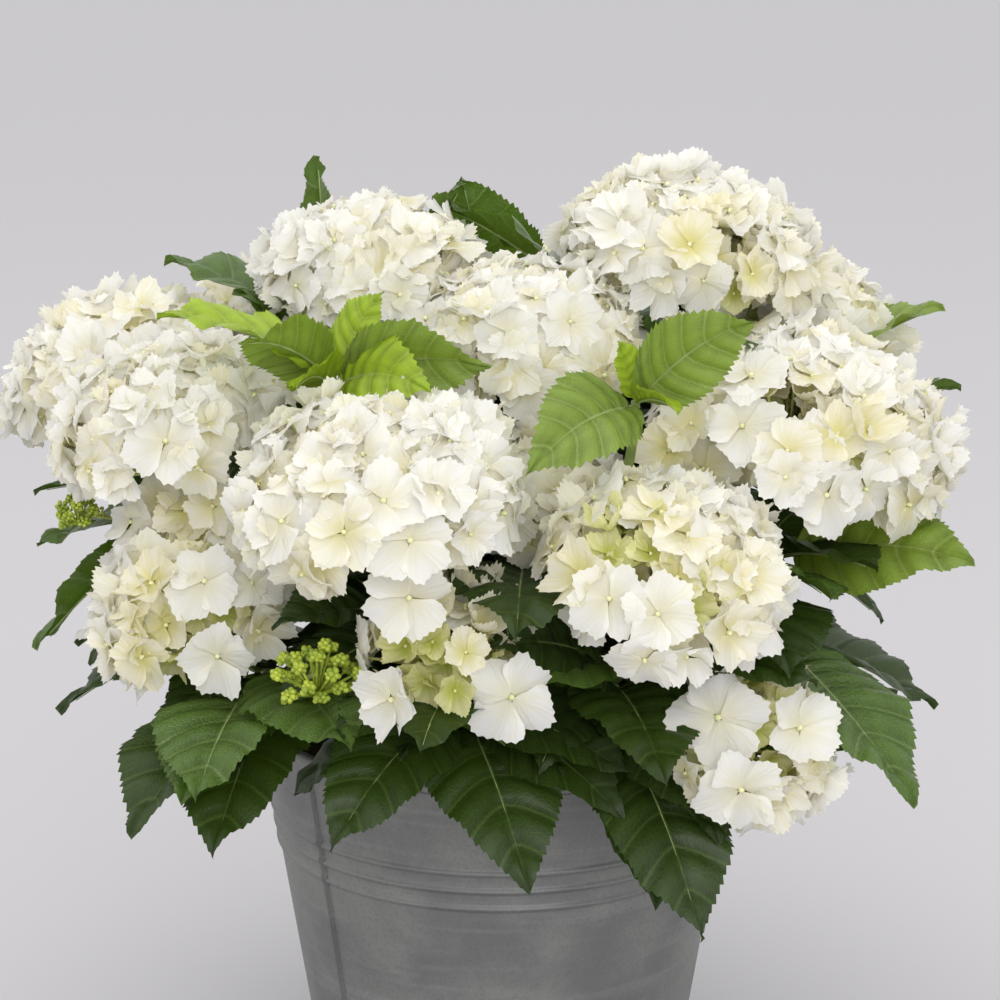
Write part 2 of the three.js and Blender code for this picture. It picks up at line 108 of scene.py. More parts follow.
# Leaves, as shares of the blade's length
BLADE_LENGTH = 104
BLADE_SHARE = 0.84
YOUNG_BLADE_SHARE = 0.94
LEAF_HALF_WIDTH = 0.35
YOUNG_HALF_WIDTH = 0.27
LEAF_FOLD = 0.07
LEAF_ARCH = 0.2
FACE_OUTWARD = 0.45
YOUNG_FACE_OUTWARD = 1.6
OPPOSITE_SHARE = 0.82

# Canes: the bearing and spread of the foot in the compost
CANES = {
    "front": (-105, 44),
    "front_right": (-55, 46),
    "right": (-12, 50),
    "back_right": (40, 46),
    "back": (92, 46),
    "left_back": (148, 48),
    "left": (200, 50),
    "middle_left": (170, 14),
    "middle_right": (20, 16),
}


def shoot(name, cane, fork, middle=None, radius=None, tip=None, leaves=(), buds=None):
    """A shoot: the cane and the fork it grows from, its head or bare tip, and its leaves, each
    with its root's share of the shoot, the bearing, spread and height of its tip, its tone, and
    its roll in degrees if any."""
    return dict(name=name, cane=cane, fork=fork, middle=middle and np.array(middle, float),
                radius=radius, tip=tip and np.array(tip, float), leaves=leaves, buds=buds)


SHOOTS = [
    shoot("centre_front", "front", 1, (-62, -158, 399), 74, leaves=[
        (0.55, -124, 205, 335, "dark"), (0.5, -150, 120, 330, "dark")]),
    shoot("front_right", "front_right", 1, (79, -163, 358), 68, leaves=[
        (0.25, -70, 238, 272, "dark"), (0.05, -63, 230, 184, "dark"),
        (0.15, -84, 186, 268, "dark"), (0.5, -91.6, 200, 334, "dark", -25),
        (0.5, -47.5, 236, 306, "dark")]),
    shoot("right", "right", 1, (159, -60, 405), 86, leaves=[
        (0.6, -26, 272, 356, "fresh", 40), (0.5, -42.7, 226, 343, "mid", -20),
        (0.3, -37.5, 270, 240, "mid"),
        (0.35, -51, 232, 316, "dark"), (0.08, -8, 242, 246, "dark")]),
    shoot("right_rear", "back_right", 1, (176, 60, 440), 54, leaves=[
        (0.8, 3, 243, 465, "fresh", 35), (0.55, -1, 252, 419, "mid"), (0.3, 28, 262, 352, "mid"),
        (0.1, 20, 240, 262, "dark")]),
    shoot("back", "back", 1, (8, 150, 424), 72, leaves=[
        (0.6, 106, 78, 525, "mid"), (0.4, 66, 246, 384, "mid"), (0.25, 84, 228, 400, "mid"),
        (0.05, 108, 246, 256, "dark")]),
    shoot("left_rear", "left_back", 1, (-212, 45, 415), 71, leaves=[
        (0.65, 150, 270, 372, "mid"), (0.5, -168.7, 256, 285, "mid", 36), (0.3, 176, 262, 330, "mid"),
        (0.05, 166, 250, 246, "dark")], buds=(-164.5, 233, 366, 12)),
    shoot("left_mid", "left", 1, (-172, -62, 411), 64, leaves=[
        (0.3, 178, 212, 322, "dark"), (0.6, 128, 150, 372, "mid"), (0.05, -168, 246, 250, "dark")]),
    shoot("top_left", "middle_left", 1, (-71, 27, 474), 66, leaves=[
        (0.8, 162, 198, 482, "mid"), (0.5, 40, 60, 470, "mid"), (0.7, 108.4, 74, 524, "mid")]),
    shoot("top_right", "middle_right", 1, (102, 20, 484), 75, leaves=[
        (0.75, 116, 78, 514, "mid"), (0.6, 74, 152, 470, "mid")]),
    shoot("low_centre", "front", 0.45, (-26, -179, 327), 47, leaves=[
        (0.55, -112, 222, 286, "dark"), (0.3, -111.5, 232, 235, "dark"),
        (0.08, -86, 216, 211, "dark"), (0.02, -99, 184, 262, "dark")]),
    shoot("low_right", "front_right", 0.4, (126, -150, 271), 50, leaves=[
        (0.15, -20, 226, 268, "dark"), (0.05, -46, 200, 262, "dark")]),
    shoot("left_low", "left", 0.4, (-155, -95, 328), 64, leaves=[
        (0.55, -109, 225, 284, "mid"), (0.42, -125, 264, 264, "mid"),
        (0.3, -134.5, 266, 231, "dark"), (0.22, -128.5, 255, 251, "mid"),
        (0.15, -126, 247, 226, "dark")], buds=(-116, 208, 316, 22)),
    shoot("middle", "middle_right", 0.45, (15, -28, 446), 70, leaves=[
        (0.5, 95, 60, 400, "mid")]),
    shoot("shaded", "middle_right", 0.3, (14, -92, 382), 50, leaves=[
        (0.8, -88, 230, 352, "dark"), (0.4, -100, 118, 336, "dark")]),
    shoot("back_right", "back_right", 0.5, (118, 168, 398), 66, leaves=[
        (0.4, 40, 270, 352, "mid"), (0.1, 58, 254, 256, "dark")]),
    shoot("back_left", "left_back", 0.55, (-118, 140, 420), 72, leaves=[
        (0.6, 141.6, 129, 536, "mid", 34), (0.6, 128, 262, 350, "mid"), (0.3, 146, 254, 296, "mid"),
        (0.1, 146, 244, 246, "dark")]),
    shoot("low_back_left", "back", 0.35, (-62, 196, 330), 58, leaves=[
        (0.35, 88, 266, 262, "dark"), (0.1, 124, 250, 240, "dark")]),
    shoot("low_back_right", "back", 0.5, (52, 205, 312), 54, leaves=[
        (0.35, 60, 258, 250, "dark"), (0.15, 86, 252, 226, "dark")]),
    shoot("young_left", "middle_left", 0.72, tip=(-86, -94, 446), leaves=[
        (0.97, -92, 131, 460, "fresh", 40), (0.99, -122.5, 113, 493, "lime"),
        (0.96, -149, 204, 483, "lime", 58), (0.98, -131, 198, 478, "fresh", 30),
        (0.93, -103.1, 162, 455, "lime"),
        (0.93, -124.0, 181, 455, "lime")]),
    shoot("young_right", "front_right", 0.6, tip=(69, -118, 440), leaves=[
        (0.97, -50, 196, 487, "fresh"), (0.95, -86, 191, 420, "fresh"), (0.99, -66, 145, 474, "lime"),
        (0.98, -61, 184, 444, "lime", -20)]),
]
BLOOMING = [plan for plan in SHOOTS if plan["middle"] is not None]


# Directions and curves

def random_stream(seed):
    """Seeded numbers from 0 to 1, the same on every run."""
    state = seed & MASK
    while True:
        state = (state + 0x6D2B79F5) & MASK
        mixed = ((state ^ (state >> 15)) * (state | 1)) & MASK
        mixed ^= (mixed + ((mixed ^ (mixed >> 7)) * (mixed | 61))) & MASK
        yield (mixed ^ (mixed >> 14)) / (MASK + 1)


def between(ends, share):
    return ends[0] + (ends[1] - ends[0]) * share


def unit(vector):
    return vector / np.linalg.norm(vector)


def from_bearing(bearing, spread, height):
    angle = math.radians(bearing)
    return np.array([math.cos(angle) * spread, math.sin(angle) * spread, height])


def square_to(direction):
    """Two directions square to one another and to the given one."""
    side = np.cross(direction, UP)
    if np.linalg.norm(side) < 1e-3:
        side = np.array([1.0, 0.0, 0.0])
    side = unit(side)
    return side, unit(np.cross(side, direction))


def bezier(corners, shares):
    """Points on a Bezier curve with three or four corners."""
    t = np.asarray(shares, float).reshape(-1, 1)
    rest = 1 - t
    if len(corners) == 3:
        weights = (rest * rest, 2 * rest * t, t * t)
    else:
        weights = (rest**3, 3 * rest * rest * t, 3 * rest * t * t, t**3)
    return sum(w * c for w, c in zip(weights, corners))


def tangents(corners, shares):
    ahead = bezier(corners, np.asarray(shares) + 1e-3)
    behind = bezier(corners, np.asarray(shares) - 1e-3)
    way = ahead - behind
    return way / np.linalg.norm(way, axis=1, keepdims=True)


def head_axis(plan):
    """A head looks outwards low in the crown, and more and more upwards above."""
    return unit((plan["middle"] - CROWN_HEART) * (1, 1, HEAD_LIFT))


def neck_point(plan):
    if plan["tip"] is not None:
        return plan["tip"]
    return plan["middle"] - head_axis(plan) * (CORE_ALONG * plan["radius"] + NECK_LENGTH)


def way_to(plan, start, leaving):
    """The whole way from the foot, or from the fork on the cane, to a shoot's tip."""
    end = neck_point(plan)
    length = np.linalg.norm(end - start)
    arriving = UP if plan["middle"] is None else head_axis(plan)
    return [start, start + leaving * length * LEAVING_REACH,
            end - arriving * length * ARRIVING_REACH, end]


def lay_out_ways():
    """Gives every shoot its way, first the canes' own and then the boughs that fork off them."""
    canes = {}
    for plan in SHOOTS:
        if plan["fork"] == 1:
            bearing, spread = CANES[plan["cane"]]
            foot = from_bearing(bearing, spread, COMPOST_LEVEL - CANE_SINK)
            plan["way"] = way_to(plan, foot, unit(from_bearing(bearing, CANE_LEAN, 1)))
            canes[plan["cane"]] = plan["way"]
    for plan in SHOOTS:
        if plan["fork"] < 1:
            start = bezier(canes[plan["cane"]], [plan["fork"] * WOOD_SHARE])[0]
            straight = unit(neck_point(plan) - start)
            plan["way"] = way_to(plan, start, unit(straight + UP * BOUGH_LIFT))


def root_at(plan, share):
    return bezier(plan["way"], [WOOD_SHARE + (1 - WOOD_SHARE) * share])[0]


# Joined meshes

class Heap:
    """Many small shapes gathered into one mesh, with a map of their own for the pattern."""

    def __init__(self):
        self.points, self.faces, self.maps, self.count = [], [], [], 0

    def add(self, points, faces, places):
        self.points.append(points)
        self.maps.append(places)
        self.faces += [[corner + self.count for corner in face] for face in faces]
        self.count += len(points)

    def build(self, name, material, slot, nodes=()):
        mesh = bpy.data.meshes.new(name)
        mesh.from_pydata((np.concatenate(self.points) * MM).tolist(), [], self.faces)
        layer = mesh.uv_layers.new(name="OFBake")
        corners = np.zeros(len(mesh.loops), np.int32)
        mesh.loops.foreach_get("vertex_index", corners)
        layer.data.foreach_set("uv", np.concatenate(self.maps)[corners].astype(np.float32).ravel())
        mesh.shade_smooth()
        piece = bpy.data.objects.new(name, mesh)
        bpy.context.scene.collection.objects.link(piece)
        return dress(piece, material, nodes)


def dress(piece, material, nodes=()):
    """Gives a finished piece its material and its body, and hides the solid parts of the nodes it
    stands for.
    """
    piece.data.materials.clear()
    piece.data.materials.append(material)
    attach(piece, "root")
    if nodes:
        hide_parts(*nodes)
    return piece


def tube(middles, radii, sides, stretch=1.0):
    """A round stem through the given points. Its map runs round it and along it."""
    middles = np.asarray(middles, float)
    way = np.gradient(middles, axis=0)
    points, places, run = [], [], 0.0
    side, front = square_to(unit(way[0]))
    for i, (middle, radius) in enumerate(zip(middles, radii)):
        ahead = unit(way[i])
        side = unit(side - ahead * side.dot(ahead))
        front = np.cross(ahead, side)
        run += np.linalg.norm(middle - middles[i - 1]) if i else 0
        turns = np.arange(sides) * 2 * math.pi / sides
        radius = np.broadcast_to(radius, sides).reshape(-1, 1)
        points.append(middle + radius * (np.cos(turns)[:, None] * side
                                         + np.sin(turns)[:, None] * front))
        places.append(np.stack([turns / (2 * math.pi), np.full(sides, run * stretch)], 1))
    faces = []
    for i in range(len(middles) - 1):
        for k in range(sides):
            n = (k + 1) % sides
            faces.append((i * sides + k, i * sides + n, (i + 1) * sides + n, (i + 1) * sides + k))
    faces.append(tuple(range(sides))[::-1])
    faces.append(tuple(range((len(middles) - 1) * sides, len(middles) * sides)))
    return np.concatenate(points), faces, np.concatenate(places)


# Leaves

VEIN_PAIRS = 7
VEIN_SWEEP = 1.7
VEIN_CURVE = 1.35
BLADE_GRIDS = {
    # rows for each side vein, columns as shares of the half width, how far the teeth stand out
    "grown": (4, (0.26, 0.52, 0.78, 1.0), 0.04),
    "young": (3, (0.26, 0.52, 0.78, 1.0), 0.095),
    "filling": (2, (0.5, 1.0), 0.024),
}
WIDTHS = (
    # share of the blade's length, share of its greatest half width
    (0.0, 0.0), (0.02, 0.2), (0.06, 0.46), (0.12, 0.69), (0.2, 0.88), (0.3, 0.98), (0.4, 1.0),
    (0.5, 0.95), (0.6, 0.83), (0.7, 0.66), (0.79, 0.46), (0.87, 0.27), (0.93, 0.14), (0.97, 0.06),
    (1.0, 0.0),
)
TOOTH_AHEAD = 0.011
TOOTH_SIZES = (0.8, 1.15, 0.9, 1.05)
PILLOW = 0.075
PILLOW_EDGE = 1.12
PILLOW_GAIN = 1.6
FOLD_SHARES = (0.6, 1.5)
FOLD_FLATTENS = 0.35
MARGIN_WAVE = 0.03
MARGIN_WAVES = 13
MARGIN_RIPPLES = 31
RIPPLE_SHARE = 0.4
TIP_CURL = 0.1
CURL_MIDDLE = 0.75
RIB_SHARES = np.linspace(0, 0.9, 9)
RIB_SINK = 0.5
STALK_RADII = (1.7, 1.25)
RIB_RADII = (1.2, 0.3)
# A leaf's own map: the share of the length runs along it, and the column across it
LEAF_MAP_START = 0.02
LEAF_MAP_RUN = 0.96
LEAF_MAP_HALF = 0.48


def blade_width(along):
    return np.interp(along, *zip(*WIDTHS))


def blade_grid(rows_per_vein, columns, tooth_out):
    """The flat leaf: for every point its place along and across, its row's share and its column,
    and the faces. Rows sweep forward like the side veins, and each outer face has a tooth."""
    spots, faces, index = [], [], {}
    rows = VEIN_PAIRS * rows_per_vein
    for row in range(rows + 1):
        margin = row / rows
        share = margin ** VEIN_SWEEP
        width = float(blade_width(margin))
        index[(row, 0, 1)] = index[(row, 0, -1)] = len(spots)
        spots.append((share, 0.0, margin, 0.0))
        for sign in (1, -1):
            for column, across in enumerate(columns, 1):
                along = share + (margin - share) * across ** VEIN_CURVE
                index[(row, column, sign)] = len(spots)
                spots.append((along, sign * across * width, margin, sign * across))
    last = len(columns)
    for row in range(rows):
        for sign in (1, -1):
            for column in range(last):
                corners = [index[(row, column, sign)], index[(row + 1, column, sign)],
                           index[(row + 1, column + 1, sign)], index[(row, column + 1, sign)]]
                if column == last - 1 and 0 < row < rows - 1:
                    low, high = np.array(spots[corners[3]]), np.array(spots[corners[2]])
                    tooth = low + (high - low) * 0.8
                    size = TOOTH_SIZES[(row * 7 + (sign > 0)) % 4]
                    size *= min(1, 5 * (1 - row / rows))
                    tooth[0] += TOOTH_AHEAD * size
                    tooth[1] += sign * tooth_out * size
                    corners.insert(3, len(spots))
                    spots.append(tuple(tooth))
                faces.append(corners[::-1] if sign > 0 else corners)
    return np.array(spots), faces


FLAT_LEAVES = {kind: blade_grid(*values) for kind, values in BLADE_GRIDS.items()}


def blade(heap, ribs, root, tip, kind, wobble, roll=0):
    """Adds one leaf: its veined blade to heap, its stalk and midrib to ribs. Roll, in degrees,
    tips the blade about its midrib."""
    young = kind == "young"
    half_width = YOUNG_HALF_WIDTH if young else LEAF_HALF_WIDTH
    outward_share = YOUNG_FACE_OUTWARD if young else FACE_OUTWARD
    spots, faces = FLAT_LEAVES[kind]
    whole = np.linalg.norm(tip - root)
    length = min(BLADE_LENGTH, whole * (YOUNG_BLADE_SHARE if young else BLADE_SHARE))
    curve = [root, (root + tip) / 2 + UP * length * LEAF_ARCH, tip]
    outward = unit(tip * (1, 1, 0))
    side = unit(np.cross(tip - root, UP + outward * outward_share))
    turn = math.radians(roll)
    side = unit(side * math.cos(turn) + np.cross(unit(tip - root), side) * math.sin(turn))
    start = 1 - length / whole
    along, across, share, column = spots.T
    shares = start + (1 - start) * along
    middle = bezier(curve, shares)
    ahead = tangents(curve, shares)
    normal = np.cross(side, ahead)
    normal /= np.linalg.norm(normal, axis=1, keepdims=True)
    reach = np.abs(column)
    pillow = np.abs(np.sin(share * VEIN_PAIRS * math.pi))
    pillow = pillow * reach * (PILLOW_EDGE - reach) * PILLOW_GAIN
    sign = np.sign(column)
    wave = np.sin(share * MARGIN_WAVES + wobble * FULL_TURN + sign * 1.3) * reach**2
    ripple = np.sin(share * MARGIN_RIPPLES + wobble * 17 + sign) * reach**3 * RIPPLE_SHARE
    fold = LEAF_FOLD * between(FOLD_SHARES, wobble) * np.abs(across)
    fold = fold * (1 - FOLD_FLATTENS * reach)
    curl = TIP_CURL * (wobble - CURL_MIDDLE) * along**3
    height = length * (fold + PILLOW * pillow + MARGIN_WAVE * (wave + ripple) + curl)
    half = half_width * length
    points = middle + side * (across * half)[:, None] + normal * height[:, None]
    places = np.stack([LEAF_MAP_START + LEAF_MAP_RUN * share, 0.5 + LEAF_MAP_HALF * column], 1)
    heap.add(points, faces, places)

    thick = (length / BLADE_LENGTH) ** 0.5
    stem = bezier(curve, np.linspace(0, start, 5))
    ribs.add(*tube(stem, np.linspace(*STALK_RADII, 5) * thick, 6))
    rise = TIP_CURL * (wobble - CURL_MIDDLE) * RIB_SHARES**3 * length - RIB_SINK
    rib = bezier(curve, start + (1 - start) * RIB_SHARES) + normal[0] * rise[:, None]
    ribs.add(*tube(rib, np.linspace(*RIB_RADII, len(RIB_SHARES)) * thick, 5))
    return points


# How near a filling leaf may come: to a head, as shares of its radius, and to the bucket's rim
HEAD_SLACK = 0.85
HEAD_BACK = 0.3
RIM_SPACE = 5
RIM_SPACE_ABOVE = 2


def opposite_tip(root, tip):
    """The tip of the leaf across the stem from one that grows from the same root."""
    away = (root - tip) * OPPOSITE_SHARE
    return np.array([root[0] + away[0], root[1] + away[1], tip[2]])


def in_a_head(points):
    """Whether any point lies inside a flower head's dome."""
    for plan in BLOOMING:
        axis = head_axis(plan)
        off = points - plan["middle"]
        along = off @ axis
        across = np.linalg.norm(off - along[:, None] * axis, axis=1)
        reach = plan["radius"] * HEAD_SLACK
        inside = (across / (DOME_ACROSS * reach))**2 + (along / (DOME_ALONG * reach))**2 < 1
        if np.any(inside & (along > -HEAD_BACK * plan["radius"])):
            return True
    return False


def over_the_bucket(points):
    """Whether the points stay above the rim or outside the bucket's wall."""
    inside = np.linalg.norm(points[:, :2], axis=1) < POT_RIM_RADIUS + RIM_SPACE
    return not np.any(inside & (points[:, 2] < POT_HEIGHT + RIM_SPACE_ABOVE))


# Filling leaves, a pair at each share of the shoot; the first shares are those of the source
FILLER_SHARES = (0.2, 0.6)
FINE_FILLER_SHARES = (0.08, 0.4, 0.8)
FILLER_REACH = (62, 112)
FILLER_RISE = (-0.63, 0.27)
DARK_SHARE = 0.65
CROWN_LOW = 186
CROWN_TOP = 540
CROWN_REACH = 262
SHOULDER_HEIGHT = 320


def under_the_dome(tip):
    """Whether a tip stays within the crown's round shoulders."""
    above = max(0, tip[2] - SHOULDER_HEIGHT) / (CROWN_TOP - SHOULDER_HEIGHT)
    return math.hypot(tip[0], tip[1]) < CROWN_REACH * math.sqrt(max(0, 1 - above * above))


def grow_leaves():
    """Every shoot's leaves. Returns the heaps by tone, the stalks, and points on every blade."""
    heaps = {tone: Heap() for tone in LEAF_TONES}
    ribs = Heap()
    cloud = []
    for number, plan in enumerate(SHOOTS):
        draw = random_stream(3000 + number)
        kind = "young" if plan["middle"] is None else "grown"
        for share, bearing, spread, height, tone, *roll in plan["leaves"]:
            root, tip = root_at(plan, share), from_bearing(bearing, spread, height)
            cloud.append(blade(heaps[tone], ribs, root, tip, kind, next(draw), *roll))
            if kind == "grown":
                across, wobble = opposite_tip(root, tip), next(draw)
                if under_the_dome(across):
                    add_if_clear(heaps[tone], ribs, cloud, root, across, wobble)
    for number, plan in enumerate(BLOOMING):
        draw = random_stream(5000 + number)
        wobbles = random_stream(7000 + number)
        for share in FILLER_SHARES + FINE_FILLER_SHARES:
            bearing = 360 * next(draw)
            for turn in (0, 180):
                reach = between(FILLER_REACH, next(draw))
                rise = between(FILLER_RISE, next(draw)) * reach
                root = root_at(plan, share)
                tone = "dark" if next(wobbles) < DARK_SHARE else "mid"
                tip = root + from_bearing(bearing + turn, reach, rise)
                wobble = next(wobbles)
                if share in FILLER_SHARES or under_the_dome(tip):
                    add_if_clear(heaps[tone], ribs, cloud, root, tip, wobble)
    return heaps, ribs, np.concatenate(cloud)


def add_if_clear(heap, ribs, cloud, root, tip, wobble):
    """A leaf by the rule, skipped where it would enter a head or leave the crown."""
    line = np.array([root + (tip - root) * share for share in (0.4, 0.6, 0.8, 1.0)])
    spread = np.linalg.norm(tip[:2])
    if spread > CROWN_REACH or not CROWN_LOW < tip[2] < CROWN_TOP:
        return
    if in_a_head(line) or not over_the_bucket(line):
        return
    cloud.append(blade(heap, ribs, root, tip, "filling", wobble))


# Florets

SEPAL_COLUMNS = 5
SEPAL_RINGS = (0.07, 0.42, 0.78, 1.0)
SEPAL_HALF_ANGLES = (36, 53, 57, 53)
SEPAL_NOTCH = 0.27
SEPAL_LOBES = 0.065
SEPAL_TEETH = 0.062
TOOTH_RANGE = (0.6, 1.3)
RIM_PARTS = (0.25, 0.5, 0.75)
SEPAL_LENGTHS = (0.9, 1.1)
SEPAL_TURN_WOBBLE = 0.22
SEPAL_LEVELS = (-0.03, 0.035)
SEPAL_TWISTS = (0.07, 0.13)
SEPAL_WAVES = (2.6, 4.2)
SEPAL_LOBE_TURNS = (5.0, 8.0)
SEPAL_SAG = 0.1
SEPAL_DIP = 0.02
SEPAL_CREASE = 0.07
CREASE_TURN = 3.3
NOTCH_SHARPNESS = 2.6
RUFFLE_GAIN = 1.3
CUP_DRAWS_IN = 0.35
CUP_SHARES = (0.7, 1.3)
CUP_WOBBLE = 0.14
# A sepal's own map: the ring runs along it, from its foot to its rim
SEPAL_MAP_START = 0.02
SEPAL_MAP_REACH = 0.46
FLORET_KINDS = [
    # how far the rims rise, and how strongly they ruffle, as shares of the floret's radius
    (0.04, 0.12), (0.1, 0.13), (0.18, 0.13), (-0.16, 0.12), (0.34, 0.14), (0.04, 0.17), (0.62, 0.16),
]
OUTER_KINDS = (0, 1, 2, 3, 5, 4, 5)
INNER_KINDS = (2, 4, 6, 4)


def floret_shape(seed, cup, ruffle):
    """Four broad overlapping sepals of radius 1 that face +Z, creased, with toothed rims."""
    draw = random_stream(seed)
    points, faces, places = [], [], []
    for k in range(4):
        middle = k * math.pi / 2 + (next(draw) - 0.5) * SEPAL_TURN_WOBBLE
        size = between(SEPAL_LENGTHS, next(draw))
        own_cup = cup * between(CUP_SHARES, next(draw)) + CUP_WOBBLE * (next(draw) - 0.5)
        phase = next(draw) * FULL_TURN
        twist = between(SEPAL_TWISTS, next(draw))
        waves = between(SEPAL_WAVES, next(draw))
        lobes = between(SEPAL_LOBE_TURNS, next(draw))

        def place(ring, across):
            """A point by its share along the sepal and its share across, from -1 to 1."""
            angle = math.radians(np.interp(ring, SEPAL_RINGS, SEPAL_HALF_ANGLES)) * across
            out = ring * size * (1 - SEPAL_NOTCH * abs(across) ** NOTCH_SHARPNESS * ring)
            out *= 1 + SEPAL_LOBES * ring**3 * math.sin(across * lobes + phase * 2)
            out *= 1 - CUP_DRAWS_IN * max(0, own_cup) * ring
            height = own_cup * ring**2 - SEPAL_SAG * ring * across**2
            height += twist * across * ring + SEPAL_LEVELS[k % 2]
            height += RUFFLE_GAIN * ruffle * ring**2.5 * math.sin(across * waves + phase)
            height += SEPAL_CREASE * ring * abs(math.sin(across * CREASE_TURN)) - SEPAL_DIP * ring
            return (out * math.cos(middle + angle), out * math.sin(middle + angle), height)

        def put(ring, across):
            points.append(place(ring, across))
            places.append((SEPAL_MAP_START + SEPAL_MAP_REACH * ring, 0.5 + SEPAL_MAP_REACH * across))
            return len(points) - 1

        rows = []
        for ring in SEPAL_RINGS:
            rows.append([put(ring, 2 * c / SEPAL_COLUMNS - 1) for c in range(SEPAL_COLUMNS + 1)])
        for r in range(len(rows) - 1):
            for c in range(SEPAL_COLUMNS):
                face = [rows[r][c], rows[r + 1][c], rows[r + 1][c + 1], rows[r][c + 1]]
                if r == len(rows) - 2:
                    rim = []
                    for part in RIM_PARTS:
                        tooth = SEPAL_TEETH * between(TOOTH_RANGE, next(draw))
                        out = 1 + tooth * (part != 0.5)
                        rim.append(put(out, 2 * (c + part) / SEPAL_COLUMNS - 1))
                    face[2:2] = rim
                faces.append(face)
    return np.array(points), faces, np.array(places)


def bead_shape(radius, height):
    """The small round bud in a floret's middle."""
    points = [(0, 0, height + radius)]
    for ring, (share, drop) in enumerate(((0.8, 0.45), (0.85, -0.5))):
        for k in range(6):
            angle = (k + 0.5 * ring) * math.pi / 3
            points.append((share * radius * math.cos(angle), share * radius * math.sin(angle),
                           height + drop * radius))
    faces = [(0, 1 + k, 1 + (k + 1) % 6) for k in range(6)]
    faces += [(1 + k, 7 + k, 7 + (k + 1) % 6, 1 + (k + 1) % 6) for k in range(6)]
    return np.array(points), faces, np.full((len(points), 2), 0.5)


BEAD_SHAPE = bead_shape(radius=0.085, height=0.03)


def turned(points, facing, turn, scale, place):
    """Points of a shape that faces +Z, turned to face a direction and put in place."""
    side, front = square_to(facing)
    side, front = (side * math.cos(turn) + front * math.sin(turn),
                   front * math.cos(turn) - side * math.sin(turn))
    if np.cross(side, front).dot(facing) < 0:
        front = -front
    return place + scale * (points @ np.array([side, front, facing]))


def floret_places(plan, count, draw, depth=1.0):
    """Places and facings of a head's florets, by the golden angle with a seeded wobble."""
    axis = head_axis(plan)
    side, front = square_to(axis)
    lowest = math.cos(math.radians(DOME_LIMIT))
    for i in range(count):
        along = 1 - (1 - lowest) * ((i + 0.5) / count)
        across = math.sqrt(1 - along * along)
        angle = i * GOLDEN_TURN + (next(draw) - 0.5) * TURN_WOBBLE
        lift = (1 + (next(draw) - 0.5) * LIFT_WOBBLE) * depth
        outward = (side * math.cos(angle) + front * math.sin(angle)) * across
        place = plan["middle"] + plan["radius"] * lift * (outward * DOME_ACROSS
                                                          + axis * along * DOME_ALONG)
        facing = unit(outward / DOME_ACROSS + axis * along / DOME_ALONG)
        yield place, facing, next(draw) * math.pi


def inside_own_space(point, plan, margin):
    """A head keeps to its own side of the plane half way to each neighbour."""
    own = np.linalg.norm(point - plan["middle"]) / plan["radius"]
    return all(np.linalg.norm(point - other["middle"]) / other["radius"] - own > margin
               for other in BLOOMING if other is not plan)


HEAD_FULL = 80
HEAD_FULL_RADIUS = 74
FLORET_RADIUS = 18.6
LEAF_CLEARANCE = 7.5
TUCK_DEPTHS = (0, 5, 10)
FLORET_GROWTH = (0.8, 1.18)
FACING_WOBBLE = 0.4
FLOWER_STALK_RADII = (1.3, 1.0, 0.8, 0.8)
STALK_ROOT_DEPTH = 0.35
STALK_KNEE_SHARE = 0.62
STALK_KNEE_SINK = 3
FEATURED_SPACE = 0.95
TONE_SIZES = {"white": 1.0, "ivory": 0.98, "cream": 0.94, "lime": 0.84}
HOLLOW_EDGE = 1.35
# Deeper layers are cream and lime: partly the young florets' own colour, partly painted shade deep in
# the head
LAYERS = [
    # depth, florets as a share of the outer layer's, size, tones with their shares, and kinds
    (1.0, 1.0, 1.0, (("white", 0.68), ("ivory", 0.32)), OUTER_KINDS),
    (0.83, 0.74, 0.9, (("ivory", 0.6), ("cream", 0.4)), INNER_KINDS),
    (0.65, 0.42, 0.86, (("cream", 0.6), ("lime", 0.4)), INNER_KINDS),
    (0.46, 0.2, 0.86, (("cream", 0.4), ("lime", 0.6)), INNER_KINDS),
]

# Places where a head stays open and its young inside shows: bearing, spread, height, reach.
# Florets near them turn cream or lime, partly as young florets and partly as painted shade.
HOLLOWS = [
    (-73.7, 201, 390, 21), (-66.7, 233, 368, 19), (-137.7, 220, 333, 27), (-106, 218, 422, 9),
    (-99.1, 214, 337, 24), (-51.7, 206, 305, 18), (-17, 122, 508, 18), (-36.4, 221, 415, 11),
    (-19.3, 132, 483, 12), (-37.7, 187, 442, 11),
]
